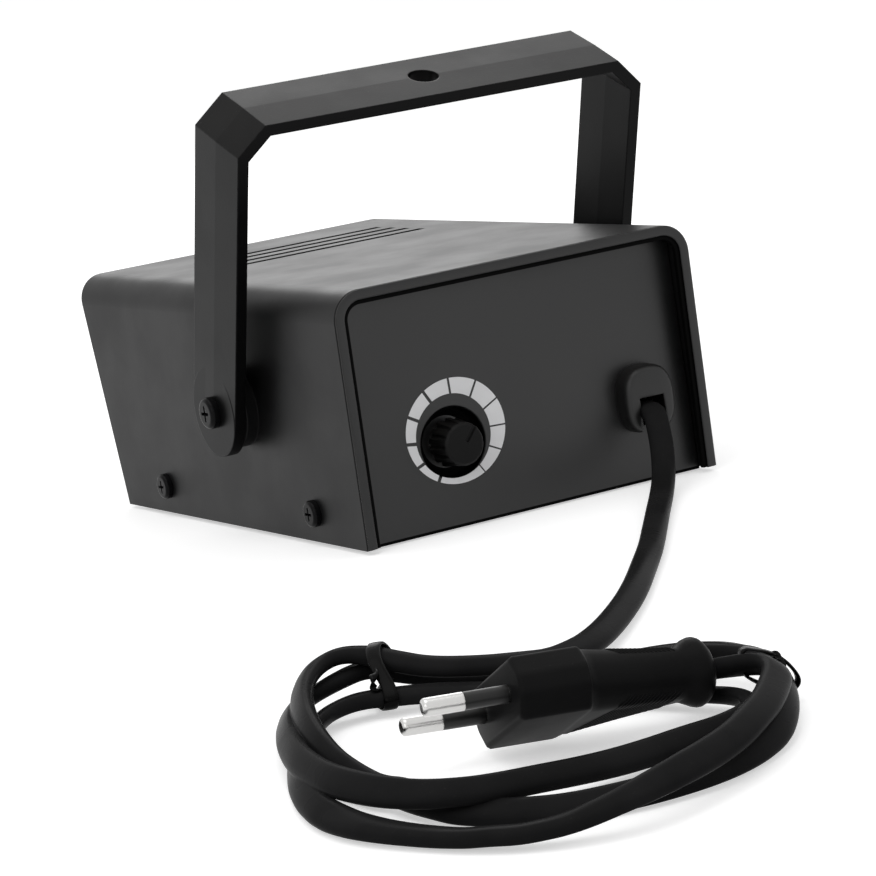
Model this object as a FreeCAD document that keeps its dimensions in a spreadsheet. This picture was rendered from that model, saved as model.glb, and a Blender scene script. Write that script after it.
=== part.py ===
import FreeCAD, Part
import math
import os
import re

import Sketcher

# Xenon stroboscope, built as a parametric document of separate pieces.
# Millimetres. +Z is up, +Y is the rear (control) side, -Y is the lamp side, and the origin is on the
# surface that the feet stand on, under the middle of the cover.

doc = FreeCAD.newDocument("xenon_stroboscope")
V = FreeCAD.Vector

# ---------------------------------------------------------------------------------------------------------
# Driving dimensions: one sheet, one named value per size.
# ---------------------------------------------------------------------------------------------------------
SIZES = {
    # cover: a U of one moulding, open below and at both ends
    "cover_width": 118.0,
    "cover_length": 184.5,
    "cover_height": 74.0,
    "cover_wall": 2.3,
    "cover_edge_radius": 8.6,
    "cover_rear_bevel": 0.8,
    "front_lean": 14.0,
    "rear_lean": 1.5,
    "foot_drop": 1.2,
    "fit_gap": 0.15,
    "seat_gap": 0.1,
    "touch_gap": 0.05,
    "hair_gap": 0.02,
    # vent slots across the roof
    "vent_length": 67.0,
    "vent_offset": 3.5,
    "vent_width": 4.0,
    "vent_pitch": 10.1,
    "vent_inset": 28.95,
    "vent_count": 4,
    # pivot of the tilt bracket
    "pivot_inset": 72.6,
    "pivot_up": 38.0,
    "pivot_screw_radius": 2.5,
    "pivot_play": 0.06,
    "boss_radius": 12.0,
    "boss_height": 4.2,
    "washer_thickness": 0.8,
    "pivot_head_radius": 4.8,
    "pivot_head_height": 2.8,
    "pivot_nut_radius": 4.6,
    "pivot_nut_thickness": 4.0,
    # tilt bracket
    "bracket_side_gap": 5.1,
    "bracket_reach": 96.0,
    "bracket_strip": 27.3,
    "bracket_thickness": 3.9,
    "bracket_chamfer": 8.7,
    "bracket_inner_chamfer": 6.8,
    "bracket_draft": 1.0,
    "bracket_hole_radius": 4.6,
    "bracket_rest_tilt": 21.6,
    # cover screws
    "cover_screw_front_inset": 47.5,
    "cover_screw_rear_inset": 32.5,
    "cover_screw_up": 8.7,
    "cover_screw_radius": 1.9,
    "cover_screw_length": 9.0,
    "cover_screw_head_radius": 4.0,
    "cover_screw_head_height": 2.3,
    "screw_play": 0.15,
    # base tray and feet
    "tray_floor": 2.2,
    "tray_flange": 14.0,
    "tray_flange_wall": 2.5,
    "tray_boss": 9.0,
    "tray_boss_depth": 6.0,
    "tray_front_gap": 0.25,
    "tray_rear_lip": 8.0,
    "foot_radius": 4.75,
    "foot_stem_radius": 2.0,
    "foot_side_inset": 15.2,
    "foot_front_inset": 11.0,
    "foot_rear_inset": 9.45,
    # rear panel and the well that the knob stands in
    "panel_setback": 7.3,
    "panel_thickness": 2.5,
    "panel_corner_radius": 6.0,
    "panel_rib_height": 2.0,
    "panel_rib_width": 2.0,
    "panel_rib_up": 52.0,
    "panel_rib_inset": 6.0,
    "knob_side": 24.0,
    "knob_up": 24.0,
    "well_radius": 10.4,
    "well_depth": 5.0,
    "well_wall": 1.8,
    "well_floor": 2.0,
    # potentiometer and knob
    "pot_radius": 8.0,
    "pot_length": 8.0,
    "pot_bushing_radius": 3.5,
    "pot_shaft_radius": 2.6,
    "shaft_flat_depth": 0.8,
    "pot_tab_pitch": 5.0,
    "pot_tab_width": 1.2,
    "pot_tab_length": 5.0,
    "pot_tab_thickness": 0.8,
    "pot_nut_radius": 5.4,
    "pot_nut_thickness": 1.8,
    "knob_base_radius": 7.2,
    "knob_cap_radius": 6.3,
    "knob_length": 9.4,
    "knob_flute_radius": 0.9,
    "knob_flutes": 14,
    "knob_clearance": 0.9,
    "knob_top_wall": 2.3,
    "knob_bevel": 0.7,
    "knob_mark_width": 1.4,
    "knob_rest_turn": -40.0,
    # strain relief
    "relief_inset": 19.2,
    "relief_width": 16.9,
    "relief_bottom": 14.2,
    "relief_top": 34.5,
    "relief_protrusion": 6.8,
    "relief_back_wall": 1.4,
    "relief_slot_width": 8.4,
    "relief_slot_top": 25.2,
    "relief_shank_width": 11.6,
    "relief_shank_height": 9.6,
    "relief_clip_thickness": 3.0,
    "relief_clip_width": 14.4,
    "cord_up": 21.0,
    "cord_channel": 6.4,
    "cord_diameter": 5.8,
    # lamp end
    "bezel_setback": 4.0,
    "bezel_thickness": 3.0,
    "bezel_foot_gap": 0.4,
    "bezel_corner_radius": 6.0,
    "bezel_chamfer": 1.6,
    "window_border": 8.6,
    "window_side_border": 8.4,
    "window_margin": 4.0,
    "window_thickness": 2.0,
    "reflector_inset": 1.0,
    "reflector_depth": 22.0,
    "reflector_side_inset": 4.0,
    "reflector_flange": 4.0,
    "reflector_wall": 1.2,
    "tube_radius": 3.0,
    "tube_bore": 2.0,
    "tube_inset": 14.0,
    "electrode_radius": 3.6,
    "electrode_length": 9.0,
    "electrode_pin_radius": 0.6,
    "electrode_pin_length": 16.0,
    "holder_radius": 6.0,
    "holder_length": 7.0,
    "holder_step": 1.5,
    "holder_collar": 4.0,
    "holder_overlap": 1.6,
    "electrode_plug_length": 7.0,
    "electrode_pin_reach": 14.0,
    # circuit board and what stands on it
    "board_side_gap": 2.9,
    "board_length": 100.0,
    "board_thickness": 1.6,
    "board_rear_gap": 22.45,
    "standoff_height": 6.0,
    "standoff_radius": 3.5,
    "board_hole_inset": 5.0,
    "board_screw_radius": 1.5,
    "board_screw_length": 5.9,
    "board_screw_head_height": 1.6,
    "part_front_inset": 10.0,
    "part_side_gap": 5.0,
    "part_gap": 2.0,
    "capacitor_radius": 8.0,
    "capacitor_length": 32.0,
    "capacitor_side": 27.0,
    "capacitor_gap": 4.0,
    "lead_gap": 0.1,
    "transformer_core": 14.0,
    "transformer_length": 16.0,
    "resistor_width": 8.0,
    "resistor_length": 38.0,
    "resistor_side": 7.0,
    "resistor_gap": 3.0,
    "diode_radius": 1.6,
    "diode_length": 6.0,
    "diode_pitch": 5.0,
    "diode_row": 48.0,
    "middle_column": 33.0,
    "film_length": 18.0,
    "film_height": 12.0,
    "film_width": 7.0,
    "film_row": 36.0,
    "fuse_radius": 2.5,
    "fuse_length": 20.0,
    "fuse_side": 7.0,
    "fuse_row": 44.0,
    "fuse_lift": 2.0,
    "fuse_clip_width": 4.0,
    "thyristor_width": 10.2,
    "thyristor_height": 15.0,
    "thyristor_thickness": 4.5,
    "thyristor_side": 29.0,
    "thyristor_row": 58.0,
    "thyristor_hole_radius": 1.8,
    "terminal_width": 21.0,
    "terminal_depth": 9.0,
    "terminal_height": 11.0,
    "terminal_side": 11.0,
    "terminal_edge_gap": 1.0,
    "terminal_well_radius": 2.2,
    "terminal_well_depth": 4.0,
    # plug
    "plug_width": 35.3,
    "plug_thickness": 13.7,
    "plug_block_length": 19.0,
    "plug_end_width": 28.0,
    "plug_neck_width": 12.5,
    "plug_grip_length": 24.0,
    "plug_collar_radius": 7.3,
    "plug_collar_length": 5.4,
    "pin_spacing": 18.6,
    "pin_radius": 2.0,
    "pin_length": 19.0,
    "pin_sleeve_length": 10.0,
    "pin_lean": 1.65,
    # coil of cord and its ties
    "coil_height": 12.0,
    "coil_rounding": 4.0,
    "tie_bite": 1.2,
    "tie_thickness": 1.3,
    "tie_width": 4.0,
}

sheet = doc.addObject("Spreadsheet::Sheet", "size")
for row, (alias, value) in enumerate(SIZES.items(), start=1):
    sheet.set("A%d" % row, alias)
    sheet.set("B%d" % row, str(value))
    sheet.setAlias("B%d" % row, alias)
doc.recompute()


def num(alias):
    """Value of one size, read back from the sheet."""
    return float(sheet.get(alias))


def rule(text):
    """Expression in which every size name is looked up in the sheet."""
    return re.sub(r"[a-z_]+", lambda m: "size." + m.group() if m.group() in SIZES else m.group(), str(text))


def bind(obj, **rules):
    """Bind properties of an object to expressions; a double underscore stands for a dot."""
    for name, text in rules.items():
        obj.setExpression(name.replace("__", "."), rule(text))


def place(obj, x=0, y=0, z=0):
    bind(obj, Placement__Base__x=x, Placement__Base__y=y, Placement__Base__z=z)
    return obj


# Expressions that several pieces share ------------------------------------------------------------------
INNER = "(cover_width / 2 - cover_wall)"
FIT_HALF = "(cover_width / 2 - cover_wall - fit_gap * 2)"
FRONT_TOP = "(-cover_length / 2)"
REAR_TOP = "(cover_length / 2)"
ROOF = "(foot_drop + cover_height)"
CEILING = "(foot_drop + cover_height - cover_wall)"
PIVOT_UP = "(foot_drop + pivot_up)"
PIVOT_ALONG = "(cover_length / 2 - pivot_inset)"
SCREW_FRONT = "(cover_screw_front_inset - cover_length / 2)"
SCREW_REAR = "(cover_length / 2 - cover_screw_rear_inset)"
BOSS_FACE = "(cover_width / 2 + boss_height)"
ARM_IN = "(cover_width / 2 + bracket_side_gap)"
ARM_OUT = "(cover_width / 2 + bracket_side_gap + bracket_thickness)"
RELIEF_SIDE = "(relief_inset - cover_width / 2)"
PANEL_FACE = "(cover_length / 2 - panel_setback)"
PANEL_BACK = "(cover_length / 2 - panel_setback - panel_thickness)"
WELL_FLOOR = "(cover_length / 2 - panel_setback - well_depth)"
KNOB_UP = "(foot_drop + knob_up)"
TRAY_TOP = "(foot_drop + tray_floor)"
TRAY_FRONT = "(-cover_length / 2 + front_lean + bezel_setback + bezel_thickness + tray_front_gap)"
TRAY_REAR = "(cover_length / 2 - panel_setback - panel_thickness - fit_gap)"
FOOT_SIDE = "(cover_width / 2 - cover_wall - fit_gap * 2 - foot_side_inset)"
FOOT_SPOTS = [(side + FOOT_SIDE, along) for side in ("", "-")
              for along in (TRAY_FRONT + " + foot_front_inset", PANEL_BACK + " - foot_rear_inset")]
BOARD_UNDER = "(foot_drop + tray_floor + standoff_height)"
BOARD_TOP = "(foot_drop + tray_floor + standoff_height + board_thickness)"
BOARD_HALF = "(" + FIT_HALF + " - tray_flange_wall - tray_boss_depth - board_side_gap)"
BOARD_REAR = "(cover_length / 2 - panel_setback - panel_thickness - board_rear_gap)"
BOARD_FRONT = "(" + BOARD_REAR + " - board_length)"
RELIEF_FRONT = "(cover_length / 2 - panel_setback + relief_protrusion)"
CORD_UP = "(foot_drop + cord_up)"
SCREW_UP = "(foot_drop + cover_screw_up)"
# heights on the lamp end are measured along its leaning plane, from the cover's lower edge
SLANT = "(sqrt(cover_height ^ 2 + front_lean ^ 2) / cover_height)"
BEZEL_TOP = "((cover_height - cover_wall - fit_gap) * " + SLANT + \
    " - (bezel_setback + bezel_thickness) * front_lean / cover_height)"
WINDOW_HALF = "(cover_width / 2 - cover_wall - fit_gap * 2 - window_side_border)"
WINDOW_LOW = "(bezel_foot_gap + window_border)"
WINDOW_HIGH = "(" + BEZEL_TOP + " - window_border)"
WINDOW_MIDDLE = "((" + WINDOW_LOW + " + " + WINDOW_HIGH + ") / 2)"
REFLECTOR_TALL = "((" + WINDOW_HIGH + " - " + WINDOW_LOW + ") / 2 - reflector_inset)"
REFLECTOR_HALF = "(" + WINDOW_HALF + " - reflector_side_inset)"
TUBE_HALF = "(" + REFLECTOR_HALF + " - electrode_length)"


# ---------------------------------------------------------------------------------------------------------
# Helpers: bodies, sketches and plain solids
# ---------------------------------------------------------------------------------------------------------
def new_body(label):
    body = doc.addObject("PartDesign::Body", label)
    body.Label = label
    return body


def origin_feature(body, role):
    return [f for f in body.Origin.OriginFeatures if f.Role == role][0]


def new_sketch(body, role, offset=None):
    """Sketch on one of the body's own planes; offset is measured along the plane's normal."""
    sketch = body.newObject("Sketcher::SketchObject", body.Label + "_sketch")
    sketch.AttachmentSupport = [(origin_feature(body, role), "")]
    sketch.MapMode = "FlatFace"
    if offset is not None:
        bind(sketch, AttachmentOffset__Base__z=offset)
    return sketch


def locate(sketch, curve, point, x, y):
    """Fix one point of a curve by its two distances from the sketch's origin."""
    for kind, text in (("DistanceX", x), ("DistanceY", y)):
        index = sketch.addConstraint(Sketcher.Constraint(kind, -1, 1, curve, point, 1.0))
        sketch.setExpression("Constraints[%d]" % index, rule(text))


def outline(sketch, corners):
    """Closed outline of straight sides through the corners, each a pair of expressions."""
    first = sketch.GeometryCount
    count = len(corners)
    turn = [2 * math.pi * i / count for i in range(count + 1)]
    start = [V(10 * math.cos(a), 10 * math.sin(a), 0) for a in turn]
    for i in range(count):
        sketch.addGeometry(Part.LineSegment(start[i], start[i + 1]), False)
    for i in range(count):
        sketch.addConstraint(Sketcher.Constraint("Coincident", first + i, 2, first + (i + 1) % count, 1))
    for i, (x, y) in enumerate(corners):
        locate(sketch, first + i, 1, x, y)


def rectangle(sketch, x0, x1, y0, y1):
    outline(sketch, [(x0, y0), (x1, y0), (x1, y1), (x0, y1)])


def circle(sketch, x, y, radius):
    index = sketch.addGeometry(Part.Circle(V(1, 1, 0), V(0, 0, 1), 2.0), False)
    locate(sketch, index, 3, x, y)
    number = sketch.addConstraint(Sketcher.Constraint("Radius", index, 2.0))
    sketch.setExpression("Constraints[%d]" % number, rule(radius))


def extrude(body, sketch, length, kind="PartDesign::Pad", reverse=False, symmetric=False):
    """Pad or pocket of a sketch. A pocket has to take material away."""
    before = body.Shape.Volume if kind == "PartDesign::Pocket" else None
    feature = body.newObject(kind, body.Label + "_" + kind.split("::")[1].lower())
    feature.Profile = sketch
    if symmetric:
        feature.SideType = "Symmetric"
    feature.Reversed = reverse
    bind(feature, Length=length)
    doc.recompute()
    if before is not None and body.Shape.Volume > before - 1e-6:
        raise RuntimeError(body.Label + ": a pocket takes nothing away")
    return feature


def cut(body, sketch, length, reverse=False, symmetric=False):
    return extrude(body, sketch, length, "PartDesign::Pocket", reverse, symmetric)


def edges_where(shape, test):
    """Names of the edges whose ends and middle all pass the test."""
    names = []
    for number, edge in enumerate(shape.Edges, start=1):
        points = [edge.valueAt(edge.FirstParameter + t * (edge.LastParameter - edge.FirstParameter))
                  for t in (0.0, 0.5, 1.0)]
        if all(test(p) for p in points):
            names.append("Edge%d" % number)
    return names


def dress(body, kind, test, **rules):
    """Fillet or chamfer of the edges of the body's tip that pass the test."""
    base = body.Tip
    names = edges_where(base.Shape, test)
    if not names:
        raise RuntimeError(body.Label + ": no edge to dress")
    feature = body.newObject("PartDesign::" + kind, body.Label + "_" + kind.lower())
    feature.Base = (base, names)
    bind(feature, **rules)
    doc.recompute()
    return feature


def near(a, b, tolerance=0.02):
    return abs(a - b) < tolerance


def box(label, x, y, z):
    """Plain block; x, y and z are pairs of expressions for its low and high faces."""
    solid = doc.addObject("Part::Box", label)
    bind(solid, Length="%s - (%s)" % (x[1], x[0]), Width="%s - (%s)" % (y[1], y[0]),
         Height="%s - (%s)" % (z[1], z[0]))
    return place(solid, x[0], y[0], z[0])


ALONG = {
    "x": FreeCAD.Rotation(V(0, 1, 0), 90),
    "y": FreeCAD.Rotation(V(1, 0, 0), -90),
    "z": FreeCAD.Rotation(),
}


def rod(label, axis, radius, length, x, y, z):
    """Cylinder that starts at (x, y, z) and runs along +axis."""
    solid = doc.addObject("Part::Cylinder", label)
    solid.Placement = FreeCAD.Placement(V(0, 0, 0), ALONG[axis])
    bind(solid, Radius=radius, Height=length)
    return place(solid, x, y, z)


def subtract(label, base, tools):
    for number, tool in enumerate(tools):
        result = doc.addObject("Part::Cut", "%s_cut_%d" % (label, number))
        result.Base = base
        result.Tool = tool
        base = result
    base.Label = label
    return base


def fuse(label, pieces):
    result = doc.addObject("Part::MultiFuse", label)
    result.Label = label
    result.Shapes = pieces
    return result


def group(label, pieces):
    """One node that holds several separate solids of the same kind."""
    result = doc.addObject("Part::Compound", label)
    result.Label = label
    result.Links = pieces
    return result


nodes = []


def node(obj, label):
    """Register an object as a finished sub-part; its label names its file."""
    obj.Label = label
    nodes.append(obj)
    return obj


# ---------------------------------------------------------------------------------------------------------
# Housing
# ---------------------------------------------------------------------------------------------------------
def make_cover():
    """U-shaped cover with leaning ends, rounded roof edges, vent slots and a pivot boss on each side."""
    body = new_body("housing_cover")
    side = new_sketch(body, "YZ_Plane")
    outline(side, [(FRONT_TOP + " + front_lean", "foot_drop"), (REAR_TOP + " - rear_lean", "foot_drop"),
                   (REAR_TOP, ROOF), (FRONT_TOP, ROOF)])
    extrude(body, side, "cover_width", symmetric=True)
    half, roof = num("cover_width") / 2, num("foot_drop") + num("cover_height")
    dress(body, "Fillet", lambda p: near(abs(p.x), half) and near(p.z, roof), Radius="cover_edge_radius")

    hollow = new_sketch(body, "XZ_Plane", "-(" + REAR_TOP + " + 1)")
    bevel = "(cover_edge_radius - cover_wall) * 0.42"
    outline(hollow, [("-" + INNER, "foot_drop - 1"), (INNER, "foot_drop - 1"),
                     (INNER, CEILING + " - " + bevel), (INNER + " - " + bevel, CEILING),
                     ("-(" + INNER + " - " + bevel + ")", CEILING), ("-" + INNER, CEILING + " - " + bevel)])
    cut(body, hollow, "cover_length + 2", reverse=True)

    def on_rear_outline(p):
        lean = num("rear_lean") * (roof - p.z) / num("cover_height")
        on_rear = near(p.y, num("cover_length") / 2 - lean, 0.05)
        outside = near(abs(p.x), half) or near(p.z, roof) or \
            math.hypot(abs(p.x) - half + num("cover_edge_radius"), p.z - roof + num("cover_edge_radius")) \
            > num("cover_edge_radius") - 0.3
        return on_rear and outside and p.z > num("foot_drop") - 0.01

    dress(body, "Chamfer", on_rear_outline, Size="cover_rear_bevel")

    bosses = new_sketch(body, "YZ_Plane")
    circle(bosses, PIVOT_ALONG, PIVOT_UP, "boss_radius")
    extrude(body, bosses, BOSS_FACE + " * 2", symmetric=True)
    gap = new_sketch(body, "YZ_Plane")
    circle(gap, PIVOT_ALONG, PIVOT_UP, "boss_radius + 0.5")
    cut(body, gap, INNER + " * 2", symmetric=True)
    dress(body, "Fillet", lambda p: near(abs(p.x), half + num("boss_height")), Radius=0.6)

    bores = new_sketch(body, "YZ_Plane")
    circle(bores, PIVOT_ALONG, PIVOT_UP, "pivot_screw_radius + pivot_play")
    for along in (SCREW_FRONT, SCREW_REAR):
        circle(bores, along, SCREW_UP, "cover_screw_radius + screw_play")
    cut(body, bores, "cover_width + boss_height * 2 + 2", symmetric=True)

    slot = new_sketch(body, "XY_Plane", CEILING + " - 1")
    rectangle(slot, "-vent_offset - vent_length / 2", "vent_length / 2 - vent_offset", FRONT_TOP + " + vent_inset",
              FRONT_TOP + " + vent_inset + vent_width")
    vent = cut(body, slot, "cover_wall + 2", reverse=True)
    row = body.newObject("PartDesign::LinearPattern", "vent_row")
    row.Originals = [vent]
    row.Direction = (origin_feature(body, "Y_Axis"), [""])
    bind(row, Length="vent_pitch * (vent_count - 1)", Occurrences="vent_count")
    body.Tip = row
    doc.recompute()
    node(body, "housing_cover")


def make_tray():
    """Floor of the housing with side flanges, screw bosses, a rear lip and holes for the feet."""
    body = new_body("base_tray")
    floor = new_sketch(body, "XY_Plane", "foot_drop")
    rectangle(floor, "-" + FIT_HALF, FIT_HALF, TRAY_FRONT, TRAY_REAR)
    extrude(body, floor, "tray_floor")
    for sign in ("", "-"):
        flange = new_sketch(body, "XY_Plane", "foot_drop")
        rectangle(flange, sign + FIT_HALF, sign + "(" + FIT_HALF + " - tray_flange_wall)",
                  TRAY_FRONT, TRAY_REAR)
        extrude(body, flange, "tray_flange")
        for along in (SCREW_FRONT, SCREW_REAR):
            boss = new_sketch(body, "XY_Plane", "foot_drop")
            rectangle(boss, sign + FIT_HALF, sign + "(" + FIT_HALF + " - tray_flange_wall - tray_boss_depth)",
                      along + " - tray_boss / 2", along + " + tray_boss / 2")
            extrude(body, boss, "cover_screw_up + tray_boss / 2")
    lip = new_sketch(body, "XY_Plane", "foot_drop")
    rectangle(lip, "-" + FIT_HALF, FIT_HALF, TRAY_REAR + " - tray_flange_wall", TRAY_REAR)
    extrude(body, lip, "tray_floor + tray_rear_lip")
    bores = new_sketch(body, "YZ_Plane")
    for along in (SCREW_FRONT, SCREW_REAR):
        circle(bores, along, SCREW_UP, "cover_screw_radius + touch_gap")
    cut(body, bores, "cover_width", symmetric=True)
    stems = new_sketch(body, "XY_Plane", "foot_drop - 1")
    for side, along in FOOT_SPOTS:
        circle(stems, side, along, "foot_stem_radius + touch_gap")
    cut(body, stems, "tray_floor + 2", reverse=True)
    node(body, "base_tray")


def make_rear_panel():
    """Recessed control panel: plate, ribs on its back, a well for the knob and a hole for the cord."""
    body = new_body("rear_panel")
    top = CEILING + " - fit_gap"
    corner = "panel_corner_radius * 0.42"
    plate = new_sketch(body, "XZ_Plane", "-" + PANEL_BACK)
    outline(plate, [("-" + FIT_HALF, "foot_drop"), (FIT_HALF, "foot_drop"), (FIT_HALF, top + " - " + corner),
                    (FIT_HALF + " - " + corner, top), ("-(" + FIT_HALF + " - " + corner + ")", top),
                    ("-" + FIT_HALF, top + " - " + corner)])
    extrude(body, plate, "panel_thickness", reverse=True)
    cup = new_sketch(body, "XZ_Plane", "-" + PANEL_BACK)
    circle(cup, "knob_side", KNOB_UP, "well_radius + well_wall")
    extrude(body, cup, "well_depth - panel_thickness + well_floor")
    ribs = new_sketch(body, "XZ_Plane", "-" + PANEL_BACK)
    rectangle(ribs, "-" + FIT_HALF + " + panel_rib_inset", FIT_HALF + " - panel_rib_inset",
              "foot_drop + panel_rib_up", "foot_drop + panel_rib_up + panel_rib_width")
    extrude(body, ribs, "panel_rib_height")
    well = new_sketch(body, "XZ_Plane", "-" + PANEL_FACE)
    circle(well, "knob_side", KNOB_UP, "well_radius")
    cut(body, well, "well_depth", reverse=True)
    dress(body, "Chamfer",
          lambda p: near(p.y, num("cover_length") / 2 - num("panel_setback")) and
          near(math.hypot(p.x - num("knob_side"), p.z - num("foot_drop") - num("knob_up")), num("well_radius")),
          Size=0.4)
    holes = new_sketch(body, "XZ_Plane", "-" + PANEL_FACE)
    circle(holes, "knob_side", KNOB_UP, "pot_bushing_radius + seat_gap")
    rectangle(holes, RELIEF_SIDE + " - relief_shank_width / 2 - fit_gap",
              RELIEF_SIDE + " + relief_shank_width / 2 + fit_gap",
              CORD_UP + " - relief_shank_height / 2 - fit_gap", CORD_UP + " + relief_shank_height / 2 + fit_gap")
    cut(body, holes, "well_depth + well_floor + 4", reverse=True)
    node(body, "rear_panel")


def lean_to_front(obj):
    """Turn a piece drawn on the XZ plane into the leaning plane of the cover's front edge."""
    lean = math.degrees(math.atan2(num("front_lean"), num("cover_height")))
    obj.Placement = FreeCAD.Placement(V(0, 0, 0), FreeCAD.Rotation(V(1, 0, 0), lean))
    return place(obj, 0, FRONT_TOP + " + front_lean", "foot_drop")


def make_lamp_end():
    """Front bezel, clear window, reflector trough and the flash tube with its ends and holders."""
    bezel = new_body("front_bezel")
    corner = "bezel_corner_radius * 0.42"
    frame = new_sketch(bezel, "XZ_Plane", "-bezel_setback")
    outline(frame, [("-" + FIT_HALF, "bezel_foot_gap"), (FIT_HALF, "bezel_foot_gap"),
                    (FIT_HALF, BEZEL_TOP + " - " + corner), (FIT_HALF + " - " + corner, BEZEL_TOP),
                    ("-(" + FIT_HALF + " - " + corner + ")", BEZEL_TOP),
                    ("-" + FIT_HALF, BEZEL_TOP + " - " + corner)])
    extrude(bezel, frame, "bezel_thickness", reverse=True)
    opening = new_sketch(bezel, "XZ_Plane", "-bezel_setback")
    rectangle(opening, "-" + WINDOW_HALF, WINDOW_HALF, WINDOW_LOW, WINDOW_HIGH)
    cut(bezel, opening, "bezel_thickness + 1")
    face = num("bezel_setback")
    inside = num("cover_width") / 2 - num("cover_wall") - 2 * num("fit_gap") - num("window_side_border")
    dress(bezel, "Chamfer", lambda p: near(p.y, face) and abs(p.x) < inside + 0.1 and
          p.z > num("bezel_foot_gap") + 1 and not near(p.z, bezel.Shape.BoundBox.ZMax), Size="bezel_chamfer")
    node(lean_to_front(bezel), "front_bezel")

    window_y = "(bezel_setback + bezel_thickness + seat_gap)"
    window = box("window_blank", ("-" + WINDOW_HALF + " - window_margin", WINDOW_HALF + " + window_margin"),
                 (window_y, window_y + " + window_thickness"),
                 (WINDOW_LOW + " - window_margin", WINDOW_HIGH + " + window_margin"))
    pane = group("front_window", [window])
    node(lean_to_front(pane), "front_window")

    seat = "(bezel_setback + bezel_thickness + window_thickness + seat_gap * 2)"
    radius = "((" + REFLECTOR_TALL + " ^ 2 + reflector_depth ^ 2) / (2 * reflector_depth))"
    centre = "(" + seat + " + reflector_depth - " + radius + ")"
    inner_half = "(" + REFLECTOR_HALF + " - reflector_wall)"
    trough = rod("trough_outside", "x", radius, REFLECTOR_HALF + " * 2", "-" + REFLECTOR_HALF,
                 centre, WINDOW_MIDDLE)
    hollow = rod("trough_inside", "x", radius + " - reflector_wall", inner_half + " * 2", "-" + inner_half,
                 centre, WINDOW_MIDDLE)
    ahead = box("trough_ahead", ("-" + WINDOW_HALF + " * 2", WINDOW_HALF + " * 2"),
                (seat + " - cover_height", seat),
                (WINDOW_MIDDLE + " - cover_height", WINDOW_MIDDLE + " + cover_height"))
    shell = subtract("trough", trough, [hollow, ahead])
    rim = box("rim_blank",
              ("-" + REFLECTOR_HALF + " - reflector_flange", REFLECTOR_HALF + " + reflector_flange"),
              (seat, seat + " + reflector_wall"),
              (WINDOW_MIDDLE + " - " + REFLECTOR_TALL + " - reflector_flange",
               WINDOW_MIDDLE + " + " + REFLECTOR_TALL + " + reflector_flange"))
    rim_hole = box("rim_hole", ("-" + inner_half, inner_half),
                   (seat + " - 1", seat + " + reflector_wall + 2"),
                   (WINDOW_MIDDLE + " - " + REFLECTOR_TALL + " + reflector_wall * 1.4",
                    WINDOW_MIDDLE + " + " + REFLECTOR_TALL + " - reflector_wall * 1.4"))
    flange = subtract("flange", rim, [rim_hole])
    tube_y = "(" + seat + " + tube_inset)"
    holes = rod("tube_holes", "x", "holder_radius - holder_step + seat_gap", REFLECTOR_HALF + " * 3",
                "-" + REFLECTOR_HALF + " * 1.5", tube_y, WINDOW_MIDDLE)
    reflector = subtract("reflector", fuse("reflector_blank", [shell, flange]), [holes])
    node(lean_to_front(reflector), "reflector")

    glass = rod("glass_outside", "x", "tube_radius", TUBE_HALF + " * 2", "-" + TUBE_HALF, tube_y,
                WINDOW_MIDDLE)
    bore = rod("glass_bore", "x", "tube_bore", TUBE_HALF + " * 2 + 2", "-" + TUBE_HALF + " - 1", tube_y,
               WINDOW_MIDDLE)
    node(lean_to_front(subtract("flash_tube", glass, [bore])), "flash_tube")

    ends, holders = [], []
    for name, sign in (("left", "+"), ("right", "-")):
        def spot(distance, length):
            """Low end of a rod whose near end lies at a distance from the middle, on this side."""
            return distance if sign == "+" else "-(" + distance + ") - (" + length + ")"

        plug_start = TUBE_HALF + " + touch_gap + 1 - electrode_plug_length"
        pin_start = TUBE_HALF + " - electrode_pin_reach"
        ends.append(fuse("electrode_" + name, [
            rod("cap_" + name, "x", "electrode_radius", "electrode_length",
                spot(TUBE_HALF + " + touch_gap", "electrode_length"), tube_y, WINDOW_MIDDLE),
            rod("plug_" + name, "x", "tube_bore - touch_gap", "electrode_plug_length",
                spot(plug_start, "electrode_plug_length"), tube_y, WINDOW_MIDDLE),
            rod("pin_" + name, "x", "electrode_pin_radius", "electrode_pin_length",
                spot(pin_start, "electrode_pin_length"), tube_y, WINDOW_MIDDLE)]))
        neck = REFLECTOR_HALF + " - holder_overlap"
        ring = fuse("holder_blank_" + name, [
            rod("holder_neck_" + name, "x", "holder_radius - holder_step", "holder_length",
                spot(neck, "holder_length"), tube_y, WINDOW_MIDDLE),
            rod("holder_collar_" + name, "x", "holder_radius", "holder_collar",
                spot(REFLECTOR_HALF + " + seat_gap", "holder_collar"), tube_y, WINDOW_MIDDLE)])
        hole = rod("holder_bore_" + name, "x", "electrode_radius + touch_gap", "holder_length * 3",
                   spot(neck + " - holder_length", "holder_length * 3"), tube_y, WINDOW_MIDDLE)
        holders.append(subtract("tube_holder_" + name, ring, [hole]))
    node(lean_to_front(group("tube_electrodes", ends)), "tube_electrodes")
    node(lean_to_front(group("tube_holders", holders)), "tube_holders")


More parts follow.
